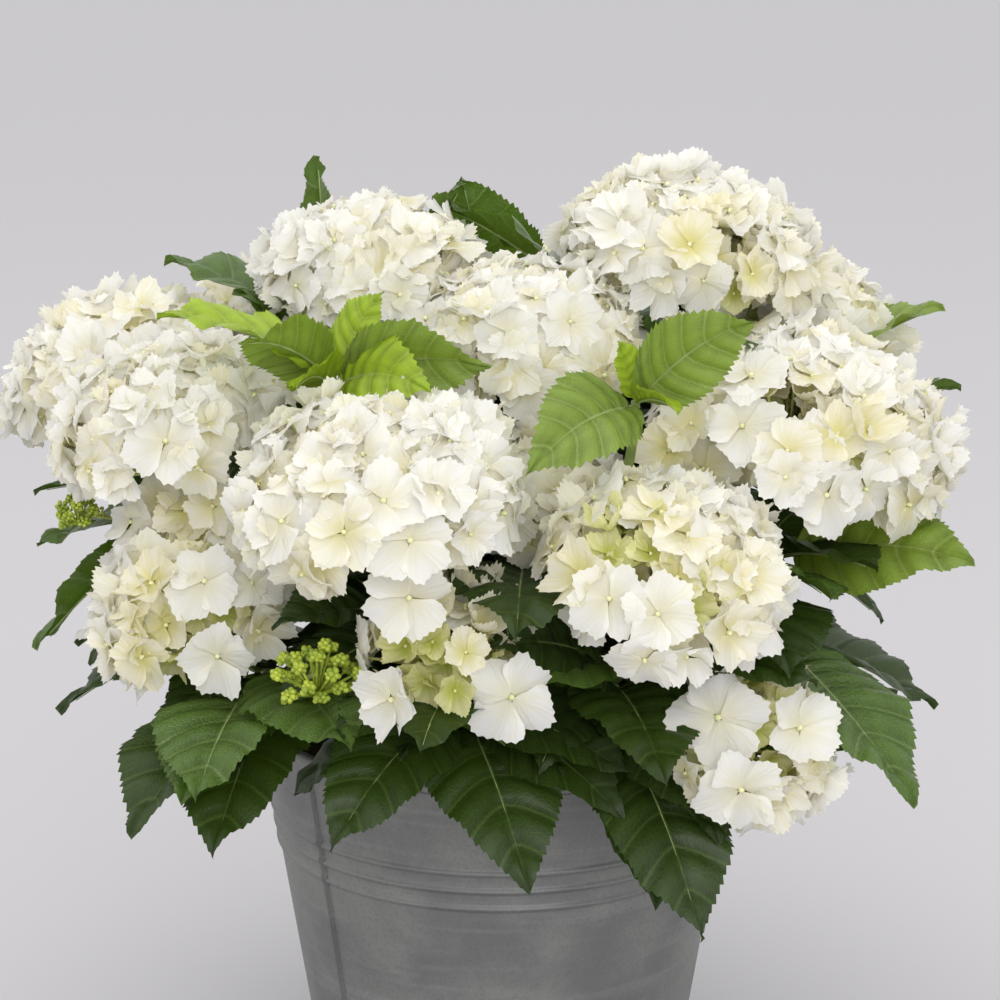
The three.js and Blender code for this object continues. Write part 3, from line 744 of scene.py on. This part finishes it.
# Single florets that catch the eye: their head, bearing, spread and height, the bearing and
# rise of their face, radius, kind and tone
FEATURED = [
    ("low_centre", -88.5, 213, 313, -84, 8, 23, 5, "white"),
    ("low_centre", -103.5, 226, 314, -122, 2, 21, 4, "white"),
    ("low_centre", -94.5, 214, 336, -80, 34, 13, 4, "cream"),
    ("centre_front", -101.7, 218, 364, -86, 2, 22, 0, "white"),
    ("centre_front", -101, 226, 395, -78, 22, 22, 1, "white"),
    ("centre_front", -108.6, 234, 399, -104, 24, 20, 2, "ivory"),
    ("front_right", -71, 234, 358, -88, 12, 20, 2, "white"),
    ("front_right", -76.2, 222, 364, -104, 16, 20, 0, "white"),
    ("front_right", -62, 238, 345, -62, 4, 20, 4, "ivory"),
    ("right", -40.2, 216, 396, -72, 6, 21, 1, "white"),
    ("right", -45, 174, 428, -96, 26, 21, 2, "white"),
    ("low_right", -59, 212, 292, -92, 14, 26, 5, "white"),
    ("low_right", -48.7, 229, 283, -62, 24, 22, 4, "white"),
    ("low_right", -58.1, 228, 258, -82, -8, 23, 1, "white"),
    ("middle", -65, 86, 473, -84, 16, 19, 4, "white"),
    ("left_low", -133.1, 210, 315, -92, -2, 20, 2, "white"),
    ("left_low", -136.8, 206, 351, -104, 28, 21, 1, "white"),
    ("left_mid", -145.1, 208, 419, -96, 26, 21, 0, "white"),
    ("left_low", -154.9, 198, 378, -118, 24, 18, 4, "ivory"),
    ("left_low", -149.5, 190, 376, -100, 40, 18, 2, "cream"),
    ("left_low", -143.8, 184, 382, -82, 30, 18, 4, "ivory"),
    ("left_low", -157.5, 210, 366, -136, 20, 18, 2, "white"),
    ("right", -51.2, 139, 412, -112, 12, 19, 4, "cream"),
    ("right", -44.8, 148, 401, -100, 4, 19, 2, "ivory"),
    ("right", -48.9, 149, 427, -118, 24, 18, 4, "ivory"),
]


def clear_place(place, facing, tree):
    """The floret's place, tucked in where a leaf lies over the head, or None."""
    for depth in TUCK_DEPTHS:
        spot = place - facing * depth
        if tree.find(spot)[2] > LEAF_CLEARANCE:
            return spot
    return None


def tone_for(tones, share):
    for tone, part in tones:
        share -= part
        if share < 0:
            return tone
    return tones[-1][0]


def place_floret(heap, beads, stalks, shape, plan, place, facing, turn, radius):
    """Adds one floret with its bead, and the stalk that it has from its head's neck."""
    for where, (points, faces, places) in ((heap, shape), (beads, BEAD_SHAPE)):
        where.add(turned(points, facing, turn, radius, place), faces, places)
    root = plan["middle"] - head_axis(plan) * plan["radius"] * STALK_ROOT_DEPTH
    knee = root + (place - root) * STALK_KNEE_SHARE - facing * STALK_KNEE_SINK
    way = bezier([root, knee, place], (0.1, 0.4, 0.7, 1.0))
    stalks.add(*tube(way, FLOWER_STALK_RADII, 4))


def grow_florets(leaf_points):
    """Every head's florets, bead by bead, with their stalks. Leaves are kept clear."""
    shapes = [floret_shape(70 + k, cup, ruffle) for k, (cup, ruffle) in enumerate(FLORET_KINDS)]
    heaps = {tone: Heap() for tone in SEPAL_TONES}
    beads, stalks = Heap(), Heap()
    tree = kdtree.KDTree(len(leaf_points))
    for i, point in enumerate(leaf_points):
        tree.insert(point, i)
    tree.balance()
    hollows = [(from_bearing(*row[:3]), row[3]) for row in HOLLOWS]
    for index, plan in enumerate(BLOOMING):
        draw = random_stream(1000 + index)
        named = []
        for head, bearing, spread, height, way, rise, radius, kind, tone in FEATURED:
            if head == plan["name"]:
                place = from_bearing(bearing, spread, height)
                facing = unit(from_bearing(way, 1, math.tan(math.radians(rise))))
                place_floret(heaps[tone], beads, stalks, shapes[kind], plan, place, facing,
                             next(draw) * math.pi, radius)
                named.append((place, radius * FEATURED_SPACE))
        full = HEAD_FULL * (plan["radius"] / HEAD_FULL_RADIUS) ** 2
        for depth, share, size, tones, kinds in LAYERS:
            for place, facing, turn in floret_places(plan, round(full * share), draw, depth):
                pick, grow, lean, shade = next(draw), next(draw), next(draw), next(draw)
                if not inside_own_space(place, plan, OWN_SPACE_MARGIN):
                    continue
                place = clear_place(place, facing, tree)
                if place is None:
                    continue
                if any(np.linalg.norm(place - spot) < reach for spot, reach in named):
                    continue
                tone = tone_for(tones, shade)
                near = [np.linalg.norm(place - spot) / reach for spot, reach in hollows]
                if depth == 1 and min(near) < 1:
                    continue
                # Painted shade at a hollow's edge, and its young florets' colour: these florets turn
                # cream or lime
                if min(near) < HOLLOW_EDGE:
                    tone = {"white": "cream", "ivory": "cream"}.get(tone, "lime")
                radius = FLORET_RADIUS * size * between(FLORET_GROWTH, grow) * TONE_SIZES[tone]
                side, front = square_to(facing)
                tilt = side * (lean - 0.5) + front * (pick - 0.5)
                facing = unit(facing + tilt * FACING_WOBBLE)
                young = INNER_KINDS if tone in ("cream", "lime") else kinds
                shape = shapes[young[int(pick * 997) % len(young)]]
                place_floret(heaps[tone], beads, stalks, shape, plan, place, facing, turn, radius)
    return heaps, beads, stalks


# Buds

BUD_SPRAYS = 26
BUDS_PER_SPRAY = 13
SMALL_CLUSTER = 15
BUD_SIZES = (1.4, 2.2)
SPRAY_SPREADS = (0.5, 0.92)
BUD_STEM_RADII = (1.8, 1.6, 1.4, 1.2)
SPRAY_STEM_RADII = (0.9, 0.7)


def grow_buds(heap, stalks):
    """Clusters of unopened buds, in small sprays with dark gaps between."""
    knob, faces, places = bead_shape(1.0, 0.0)
    for plan in SHOOTS:
        if not plan["buds"]:
            continue
        bearing, spread, height, radius = plan["buds"]
        middle = from_bearing(bearing, spread, height)
        root = root_at(plan, 0.5)
        draw = random_stream(900 + round(radius))
        stem = bezier([root, (root + middle) / 2 - UP * 8, middle], (0, 0.35, 0.7, 1))
        stalks.add(*tube(stem, BUD_STEM_RADII, 6))
        sprays = BUD_SPRAYS if radius > SMALL_CLUSTER else BUD_SPRAYS // 2
        for k in range(sprays):
            along = 1 - 1.7 * (k + 0.5) / sprays
            out = from_bearing(math.degrees(k * GOLDEN_TURN), math.sqrt(1 - along**2), along)
            heart = middle + out * radius * between(SPRAY_SPREADS, next(draw)) * (1, 1, 0.8)
            heap.add(*tube([middle - UP * radius * 0.5, heart], SPRAY_STEM_RADII, 4))
            for i in range(BUDS_PER_SPRAY):
                lift = 1 - 1.6 * (i + 0.5) / BUDS_PER_SPRAY
                way = from_bearing(math.degrees(i * GOLDEN_TURN + k), math.sqrt(1 - lift**2), lift)
                size = between(BUD_SIZES, next(draw)) * (radius / 22) ** 0.5
                place = heart + (way * 0.7 + out * 0.5) * (3.0 + 1.6 * next(draw))
                heap.add(turned(knob, way, 0, size, place), faces, places)


# Limbs

LIMB_RINGS = 34
LIMB_SIDES = 14
SHOOT_RINGS = 22
SHOOT_SIDES = 10
SHOOT_SINK = 0.01
LIMB_MAP_STRETCH = 0.01
FISSURE_DEPTH = 0.11
SCAR_STEP = 34
SCAR_SWELL = 0.14
SCAR_SHARPNESS = 12
BARK_ROUND = 2.2
BARK_ALONG = 0.05
BARK_SEED_STEP = 7.3


def bark_radii(radius, sides, run, seed):
    """A ring's radii with fissures that run along the limb and rings where leaves once sat."""
    ring = []
    for k in range(sides):
        angle = k * 2 * math.pi / sides
        spot = Vector((math.cos(angle) * BARK_ROUND, math.sin(angle) * BARK_ROUND + seed,
                       run * BARK_ALONG))
        ring.append(radius * (1 + FISSURE_DEPTH * noise.noise(spot)))
    off_scar = abs((run / SCAR_STEP) % 1 - 0.5)
    return np.array(ring) * (1 + SCAR_SWELL * max(0, 1 - off_scar * SCAR_SHARPNESS))


def grow_limbs():
    """The woody canes and boughs, and the green shoots that they carry."""
    canes, boughs, stems = Heap(), Heap(), Heap()
    for number, plan in enumerate(SHOOTS):
        own = plan["fork"] == 1
        shares = np.linspace(0, WOOD_SHARE, LIMB_RINGS)
        middles = bezier(plan["way"], shares)
        run = np.concatenate([[0], np.cumsum(np.linalg.norm(np.diff(middles, axis=0), axis=1))])
        start = CANE_FOOT_RADIUS if own else CANE_TIP_RADIUS
        end = CANE_TIP_RADIUS if own else BOUGH_TIP_RADIUS
        radii = np.linspace(start, end, LIMB_RINGS)
        if own:
            above = middles[:, 2] - COMPOST_LEVEL
            radii += FLARE_EXTRA * np.clip(1 - above / FLARE_HEIGHT, 0, 1)
        seed = number * BARK_SEED_STEP
        rings = [bark_radii(r, LIMB_SIDES, d, seed) for r, d in zip(radii, run)]
        (canes if own else boughs).add(*tube(middles, rings, LIMB_SIDES, LIMB_MAP_STRETCH))
        green = bezier(plan["way"], np.linspace(WOOD_SHARE - SHOOT_SINK, 1, SHOOT_RINGS))
        tips = np.linspace(end, SHOOT_TIP_RADIUS, SHOOT_RINGS)
        stems.add(*tube(green, tips, SHOOT_SIDES, LIMB_MAP_STRETCH))
    return canes, boughs, stems


# Materials

def srgb(red, green, blue):
    """A colour given as 0 to 255 screen values."""
    return tuple((v / 255 / 12.92 if v <= 10 else ((v / 255 + 0.055) / 1.055) ** 2.4)
                 for v in (red, green, blue)) + (1.0,)


def new_material(name, roughness, metallic=0.0):
    material = bpy.data.materials.new(name)
    material.use_nodes = True
    shader = material.node_tree.nodes["Principled BSDF"]
    shader.inputs["Roughness"].default_value = roughness
    shader.inputs["Metallic"].default_value = metallic
    return material, material.node_tree, shader


def node(tree, kind, inputs=(), **settings):
    """Adds a node, sets its settings, and fills or links its inputs."""
    made = tree.nodes.new(kind)
    for name, value in settings.items():
        setattr(made, name, value)
    for name, value in dict(inputs).items():
        if isinstance(value, bpy.types.NodeSocket):
            tree.links.new(value, made.inputs[name])
        else:
            made.inputs[name].default_value = value
    return made


def mix(tree, share, first, second):
    """A blend of two colours. A mix node's colours are its inputs 6 and 7 and its output 2."""
    return node(tree, "ShaderNodeMix", {0: share, 6: first, 7: second},
                data_type="RGBA").outputs[2]


def ramp(tree, value, low, high):
    """0 below low, 1 above high, and smooth between."""
    return node(tree, "ShaderNodeMapRange", {"Value": value, "From Min": low, "From Max": high},
                interpolation_type="SMOOTHSTEP").outputs["Result"]


def cloudy(tree, place, scale, detail, dimensions="3D", **more):
    """A noise pattern: from 0 to 1, and mostly near a half. On a piece's own map it is flat."""
    values = {"Vector": place, "Scale": scale, "Detail": detail, **more}
    return node(tree, "ShaderNodeTexNoise", values, noise_dimensions=dimensions).outputs["Fac"]


def stretched(tree, place, *scale):
    return node(tree, "ShaderNodeMapping", {"Vector": place, "Scale": scale}).outputs[0]


def maths(tree, operation, first, second=0.0):
    return node(tree, "ShaderNodeMath", {0: first, 1: second}, operation=operation).outputs[0]


def times(tree, value, factor):
    return maths(tree, "MULTIPLY", value, factor)


def less_than_one(tree, value):
    """What a value falls short of 1."""
    return maths(tree, "SUBTRACT", 1.0, value)


def relief(tree, shader, height, strength, depth):
    """Gives a surface its fine relief, of a depth in metres."""
    bump = node(tree, "ShaderNodeBump", {"Height": height, "Strength": strength,
                                         "Distance": depth})
    tree.links.new(bump.outputs[0], shader.inputs["Normal"])


def own_map(tree):
    """The piece's own map, as a vector and as two numbers."""
    source = node(tree, "ShaderNodeUVMap", uv_map="OFBake")
    parts = node(tree, "ShaderNodeSeparateXYZ", {"Vector": source.outputs["UV"]})
    return source.outputs["UV"], parts.outputs["X"], parts.outputs["Y"]


def let_light_through(tree, shader, colour, share):
    """Thin living tissue glows where light falls on its far side."""
    glow = node(tree, "ShaderNodeBsdfTranslucent", {"Color": colour})
    both = node(tree, "ShaderNodeMixShader", {0: share, 1: shader.outputs[0], 2: glow.outputs[0]})
    tree.links.new(both.outputs[0], tree.nodes["Material Output"].inputs["Surface"])


LEAF_TONES = {
    # blade, vein, the light that comes through, roughness, how deep the net of veins is sunk
    "dark": (srgb(40, 57, 18), srgb(84, 106, 46), srgb(78, 110, 18), 0.42, 0.12),
    "mid": (srgb(76, 100, 42), srgb(128, 150, 84), srgb(106, 142, 26), 0.31, 0.36),
    "fresh": (srgb(114, 136, 54), srgb(160, 178, 104), srgb(140, 172, 26), 0.36, 0.22),
    "lime": (srgb(140, 166, 36), srgb(176, 194, 88), srgb(168, 198, 32), 0.4, 0.14),
}
# Painted shade and painted light on a leaf: how dark its folds beside the side veins are painted,
# and how light its cushions, as shares of the blade colour
LEAF_PAINTED_SHADE_AND_LIGHT = (0.76, 1.24)
LEAF_GLOSS = 0.38
LEAF_LIGHT_SHARE = 0.2
# Where a vein or a cushion begins and is whole, as a share of the way between two side veins or
# across the leaf's own map, and how strongly each sort of vein shows
SIDE_VEIN_EDGE = (0.012, 0.07)
CUSHION_EDGE = (0.06, 0.36)
MIDRIB_EDGE = (0.004, 0.022)
SMALL_VEIN_EDGE = (0.0, 0.16)
SMALL_VEIN_STRENGTH = 0.19
SIDE_VEIN_STRENGTH = 0.42
MIDRIB_STRENGTH = 0.7


def shaded(colour, share):
    return tuple(min(1, part * share) for part in colour[:3]) + (1,)


def leaf_material(tone):
    blade_colour, vein_colour, glow, roughness, net_depth = LEAF_TONES[tone]
    material, tree, shader = new_material("leaf_" + tone, roughness)
    shader.inputs["Specular IOR Level"].default_value = LEAF_GLOSS
    place, share, column = own_map(tree)
    across = maths(tree, "ABSOLUTE", maths(tree, "SUBTRACT", column, 0.5))
    along = maths(tree, "SUBTRACT", share, LEAF_MAP_START)
    phase = maths(tree, "FRACT", times(tree, along, VEIN_PAIRS / LEAF_MAP_RUN))
    off_vein = maths(tree, "MINIMUM", phase, less_than_one(tree, phase))
    side_vein = less_than_one(tree, ramp(tree, off_vein, *SIDE_VEIN_EDGE))
    cushion = ramp(tree, off_vein, *CUSHION_EDGE)
    midrib = less_than_one(tree, ramp(tree, across, *MIDRIB_EDGE))
    cells = {"Vector": stretched(tree, place, 1.7, 1.0, 1.0), "Scale": 26.0}
    net = node(tree, "ShaderNodeTexVoronoi", cells, feature="DISTANCE_TO_EDGE",
               voronoi_dimensions="2D")
    small_vein = less_than_one(tree, ramp(tree, net.outputs["Distance"], *SMALL_VEIN_EDGE))
    patches = times(tree, ramp(tree, cloudy(tree, place, 5.0, 4.0, "2D"), 0.3, 0.7), 0.45)
    # Painted light on the cushions and painted shade in the folds, mixed with random patches of tone
    painted_light_and_patches = maths(tree, "ADD", patches, times(tree, cushion, 0.55))
    shade = mix(tree, painted_light_and_patches, *(shaded(blade_colour, part) for part in LEAF_PAINTED_SHADE_AND_LIGHT))
    netted = mix(tree, times(tree, small_vein, SMALL_VEIN_STRENGTH), shade, vein_colour)
    sided = mix(tree, times(tree, side_vein, SIDE_VEIN_STRENGTH), netted, vein_colour)
    colour = mix(tree, times(tree, midrib, MIDRIB_STRENGTH), sided, vein_colour)
    tree.links.new(colour, shader.inputs["Base Color"])
    sunk = times(tree, small_vein, net_depth)
    quilt = maths(tree, "SUBTRACT", times(tree, cushion, 0.7), sunk)
    relief(tree, shader, quilt, 0.6, 0.0012)
    let_light_through(tree, shader, glow, LEAF_LIGHT_SHARE)
    return material


SEPAL_LIGHT_SHARE = 0.42
SEPAL_BLUSH_EDGE = (0.03, 0.4)
SEPAL_STREAK_EDGE = (0.4, 0.64)
SEPAL_STREAK_STRENGTH = 0.26
SEPAL_TONES = {
    # rim, heart
    "white": (srgb(247, 246, 243), srgb(242, 238, 213)),
    "ivory": (srgb(247, 245, 234), srgb(236, 229, 178)),
    "cream": (srgb(246, 242, 224), srgb(231, 224, 148)),
    "lime": (srgb(238, 236, 186), srgb(198, 206, 86)),
}


def sepal_material(tone):
    rim, heart = SEPAL_TONES[tone]
    material, tree, shader = new_material("sepal_" + tone, 0.6)
    place, along, _ = own_map(tree)
    blush = ramp(tree, along, *SEPAL_BLUSH_EDGE)
    fans = stretched(tree, place, 1.4, 17.0, 1.0)
    streaks = ramp(tree, cloudy(tree, fans, 1.0, 1.5, "2D"), *SEPAL_STREAK_EDGE)
    tinted = mix(tree, blush, heart, rim)
    streaked = times(tree, less_than_one(tree, streaks), SEPAL_STREAK_STRENGTH)
    colour = mix(tree, streaked, tinted, heart)
    tree.links.new(colour, shader.inputs["Base Color"])
    relief(tree, shader, streaks, 0.36, 0.0008)
    let_light_through(tree, shader, colour, SEPAL_LIGHT_SHARE)
    return material


MOTTLED = {
    # dark and light patches, how many of them to the metre, roughness, depth of the grain
    "compost": (srgb(34, 25, 18), srgb(78, 60, 44), 90, 1.0, 0.002),
    "bark": (srgb(104, 88, 62), srgb(158, 140, 104), 120, 0.85, 0.0008),
    "green_stem": (srgb(92, 116, 52), srgb(134, 150, 84), 60, 0.5, 0.0003),
    "leaf_stalk": (srgb(120, 140, 76), srgb(158, 172, 112), 80, 0.5, 0.0002),
    "bead": (srgb(206, 208, 150), srgb(230, 230, 180), 200, 0.5, 0.0002),
    "flower_stalk": (srgb(168, 176, 96), srgb(196, 200, 128), 80, 0.55, 0.0002),
    "bud": (srgb(118, 140, 30), srgb(176, 190, 62), 150, 0.5, 0.0003),
}


def mottled(name):
    """A living or earthy surface: two colours in soft patches, with a fine grain."""
    dark, light, scale, roughness, depth = MOTTLED[name]
    material, tree, shader = new_material(name, roughness)
    source = node(tree, "ShaderNodeTexCoord").outputs["Object"]
    patches = ramp(tree, cloudy(tree, source, scale, 6.0), 0.32, 0.68)
    tree.links.new(mix(tree, patches, dark, light), shader.inputs["Base Color"])
    relief(tree, shader, cloudy(tree, source, scale * 4, 4.0), 0.6, depth)
    return material


def zinc_material(name, shade=1.0):
    """Dull galvanised zinc: pale bloom and grey patches, faint streaks drawn round the wall."""
    material, tree, shader = new_material(name, 0.5, 0.55)
    source = node(tree, "ShaderNodeTexCoord").outputs["Object"]
    cloud = cloudy(tree, source, 16.0, 7.0, Roughness=0.62)
    streaks = cloudy(tree, stretched(tree, source, 8.0, 8.0, 160.0), 1.0, 4.0)
    specks = cloudy(tree, source, 520.0, 3.0)
    base = mix(tree, ramp(tree, cloud, 0.34, 0.66), srgb(113, 114, 113), srgb(132, 133, 130))
    lined = mix(tree, times(tree, ramp(tree, streaks, 0.5, 0.72), 0.2), base, srgb(158, 159, 157))
    colour = mix(tree, times(tree, ramp(tree, specks, 0.45, 0.7), 0.3), lined, srgb(96, 98, 99))
    # Painted shade: a shade below 1 darkens the zinc towards near-black, as on the seam's fold
    toned = mix(tree, 1 - shade, colour, srgb(40, 41, 42))
    tree.links.new(toned, shader.inputs["Base Color"])
    rough = node(tree, "ShaderNodeMapRange", {"Value": cloud, "To Min": 0.42, "To Max": 0.66})
    tree.links.new(rough.outputs["Result"], shader.inputs["Roughness"])
    relief(tree, shader, streaks, 0.25, 0.0004)
    return material


# The bucket and its compost

def pot_radius(height):
    return POT_FOOT_RADIUS + (POT_RIM_RADIUS - POT_FOOT_RADIUS) * height / POT_HEIGHT


def bead_swell(height):
    """How far a rolled rib stands out of the wall at this height."""
    swell = 0.0
    for depth in BEAD_DEPTHS:
        off = abs(height - (POT_HEIGHT - depth)) / BEAD_HALF_WIDTH
        swell = max(swell, BEAD_REACH * (1 + math.cos(math.pi * min(off, 1))) / 2)
    return swell


def wall_heights():
    """Heights up the wall, close together over each rib."""
    heights = set(np.linspace(2, POT_HEIGHT - 2 * RIM_ROLL - 1, 24))
    for depth in BEAD_DEPTHS:
        heights |= set(POT_HEIGHT - depth + np.linspace(-1, 1, 9) * BEAD_HALF_WIDTH)
    return sorted(heights)


def pot_profile():
    """The bucket's section, from its foot up the outside, over the rolled rim and down inside."""
    foot = [(POT_FOOT_RADIUS - 1.5, 0), (POT_FOOT_RADIUS + 0.8, 1.4), (POT_FOOT_RADIUS + 1.2, 3.2),
            (POT_FOOT_RADIUS + 0.7, 5)]
    wall = [(pot_radius(h) + bead_swell(h), h) for h in wall_heights() if h > 5.5]
    roll_height = POT_HEIGHT - RIM_ROLL
    roll_middle = pot_radius(roll_height)
    roll = [(roll_middle + RIM_ROLL * math.cos(a), roll_height + RIM_ROLL * math.sin(a))
            for a in np.radians(np.linspace(-120, 200, 15))]
    inside = [(pot_radius(h) - POT_WALL, h) for h in (POT_HEIGHT - 9, 200, 120, POT_FLOOR)]
    return foot + wall + roll + inside


def raised_disc(name, sides, section):
    """A disc drawn up through the rings of a section, each with its radius and height. The
    piece stays in edit mode with its last ring selected."""
    radius, height = section[0]
    bpy.ops.mesh.primitive_circle_add(vertices=sides, radius=radius * MM, fill_type="NGON",
                                      location=(0, 0, height * MM))
    piece = bpy.context.object
    piece.name = name
    bpy.ops.object.mode_set(mode="EDIT")
    bpy.ops.mesh.select_all(action="SELECT")
    for next_radius, next_height in section[1:]:
        bpy.ops.mesh.extrude_region_move(
            TRANSFORM_OT_translate={"value": (0, 0, (next_height - height) * MM)})
        scale = next_radius / radius
        bpy.ops.transform.resize(value=(scale, scale, 1), center_override=(0, 0, 0))
        radius, height = next_radius, next_height
    return piece


def make_bucket(material):
    """Extruded up from its bottom disc, step by step along the section."""
    piece = raised_disc("bucket", POT_SIDES, pot_profile())
    bpy.ops.mesh.select_all(action="SELECT")
    bpy.ops.mesh.normals_make_consistent(inside=False)
    bpy.ops.object.mode_set(mode="OBJECT")
    bpy.ops.object.transform_apply(location=True, rotation=True, scale=True)
    bpy.ops.object.shade_smooth_by_angle(angle=math.radians(40))
    dress(piece, material, ["pot"])


def make_seam(material):
    """The folded seam that closes the sheet, down the wall from rim to foot."""
    bpy.ops.mesh.primitive_grid_add(x_subdivisions=6, y_subdivisions=90, size=1)
    piece = bpy.context.object
    piece.name = "bucket_seam"
    low, high = 4, POT_HEIGHT - 2 * RIM_ROLL - 0.5
    for vertex in piece.data.vertices:
        x, y = vertex.co.x, vertex.co.y
        height = low + (y + 0.5) * (high - low)
        crown = SEAM_THICKNESS * (1 - (2 * abs(x)) ** 6)
        radius = pot_radius(height) + bead_swell(height) + crown
        angle = math.radians(SEAM_BEARING) + x * SEAM_WIDTH / radius
        vertex.co = Vector((math.cos(angle) * radius, math.sin(angle) * radius, height)) * MM
    bpy.ops.object.shade_smooth()
    dress(piece, material)


def make_compost(material):
    """A crumbly surface that fills the bucket to just under its rim."""
    inner = pot_radius(COMPOST_LEVEL) - POT_WALL - COMPOST_GAP
    foot = COMPOST_LEVEL - COMPOST_DEPTH
    foot_radius = pot_radius(foot) - POT_WALL - COMPOST_GAP
    piece = raised_disc("compost_crumb", COMPOST_SIDES, [(foot_radius, foot),
                                                         (inner, COMPOST_LEVEL)])
    for _ in range(COMPOST_RINGS):
        bpy.ops.mesh.inset(thickness=inner / (COMPOST_RINGS + 1) * MM, depth=0)
    bpy.ops.object.mode_set(mode="OBJECT")
    bpy.ops.object.transform_apply(location=True, rotation=True, scale=True)
    for vertex in piece.data.vertices:
        if vertex.co.z > (COMPOST_LEVEL - 1) * MM:
            spot = vertex.co * 1000
            rise = 1.6 * noise.noise(spot * 0.16) + 1.2 * noise.noise(spot * 0.5)
            edge = min(1, (inner - Vector((spot.x, spot.y)).length) / COMPOST_EDGE)
            vertex.co.z += (rise * edge + 2.0 * edge - 1.0) * MM
    bpy.ops.object.shade_smooth()
    dress(piece, material, ["compost"])


# The scene around it

SKY_COLOUR = (0.96, 0.96, 0.98, 1)
SKY_STRENGTH = 1.12
LIGHTS = {
    # place and target in metres, size across in metres, power in watts
    "sky": ((-0.3, 0.3, 2.6), (0, 0, 0.4), 2.2, 12),
    "front": ((0.3, -2.6, 1.5), (0, 0, 0.35), 2.2, 35),
}


def make_camera():
    data = bpy.data.cameras.new("camera")
    data.lens = CAMERA_LENS
    data.sensor_width = 36
    camera = bpy.data.objects.new("camera", data)
    camera.location = CAMERA_PLACE
    camera.rotation_euler = (math.radians(CAMERA_PITCH), 0, 0)
    bpy.context.scene.collection.objects.link(camera)
    bpy.context.scene.camera = camera


def make_floor():
    bpy.ops.mesh.primitive_plane_add(size=40, location=(0, 0, -0.0005))
    floor = bpy.context.object
    floor.name = "floor"
    material, _, shader = new_material("floor", 0.9)
    shader.inputs["Base Color"].default_value = srgb(190, 188, 189)
    floor.data.materials.append(material)


def area_light(name, place, target, size, power):
    data = bpy.data.lights.new(name, "AREA")
    data.shape = "DISK"
    data.size = size
    data.energy = power
    light = bpy.data.objects.new(name, data)
    light.location = place
    aim = Vector(target) - Vector(place)
    light.rotation_euler = aim.to_track_quat("-Z", "Y").to_euler()
    bpy.context.scene.collection.objects.link(light)


def light_scene():
    world = bpy.data.worlds.new("studio")
    world.use_nodes = True
    background = world.node_tree.nodes["Background"]
    background.inputs["Color"].default_value = SKY_COLOUR
    background.inputs["Strength"].default_value = SKY_STRENGTH
    bpy.context.scene.world = world
    for name, values in LIGHTS.items():
        area_light(name, *values)
    bpy.context.scene.view_settings.view_transform = "Standard"


def nodes_named(start):
    return [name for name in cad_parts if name.startswith(start)]


def main():
    bpy.ops.object.select_all(action="DESELECT")
    make_camera()
    light_scene()
    make_floor()
    make_bucket(zinc_material("zinc"))
    make_seam(zinc_material("zinc_seam", SEAM_PAINTED_SHADE))
    make_compost(mottled("compost"))

    lay_out_ways()
    canes, boughs, stems = grow_limbs()
    bark = mottled("bark")
    canes.build("canes", bark, "bark", nodes_named("cane_"))
    boughs.build("boughs", bark, "bark", nodes_named("bough_"))
    stems.build("green_stems", mottled("green_stem"), "leaf")

    leaves, ribs, leaf_points = grow_leaves()
    for tone, heap in leaves.items():
        nodes = nodes_named("shoot_") if tone == "dark" else ()
        heap.build("leaves_" + tone, leaf_material(tone), "leaf", nodes)
    ribs.build("leaf_stalks", mottled("leaf_stalk"), "leaf")

    florets, beads, stalks = grow_florets(leaf_points)
    bud_knobs = Heap()
    grow_buds(bud_knobs, stalks)
    for tone, heap in florets.items():
        nodes = nodes_named("bloom_") if tone == "white" else ()
        heap.build("florets_" + tone, sepal_material(tone), "petal", nodes)
    beads.build("floret_beads", mottled("bead"), "petal")
    stalks.build("flower_stalks", mottled("flower_stalk"), "leaf")
    bud_knobs.build("bud_clusters", mottled("bud"), "leaf")


main()
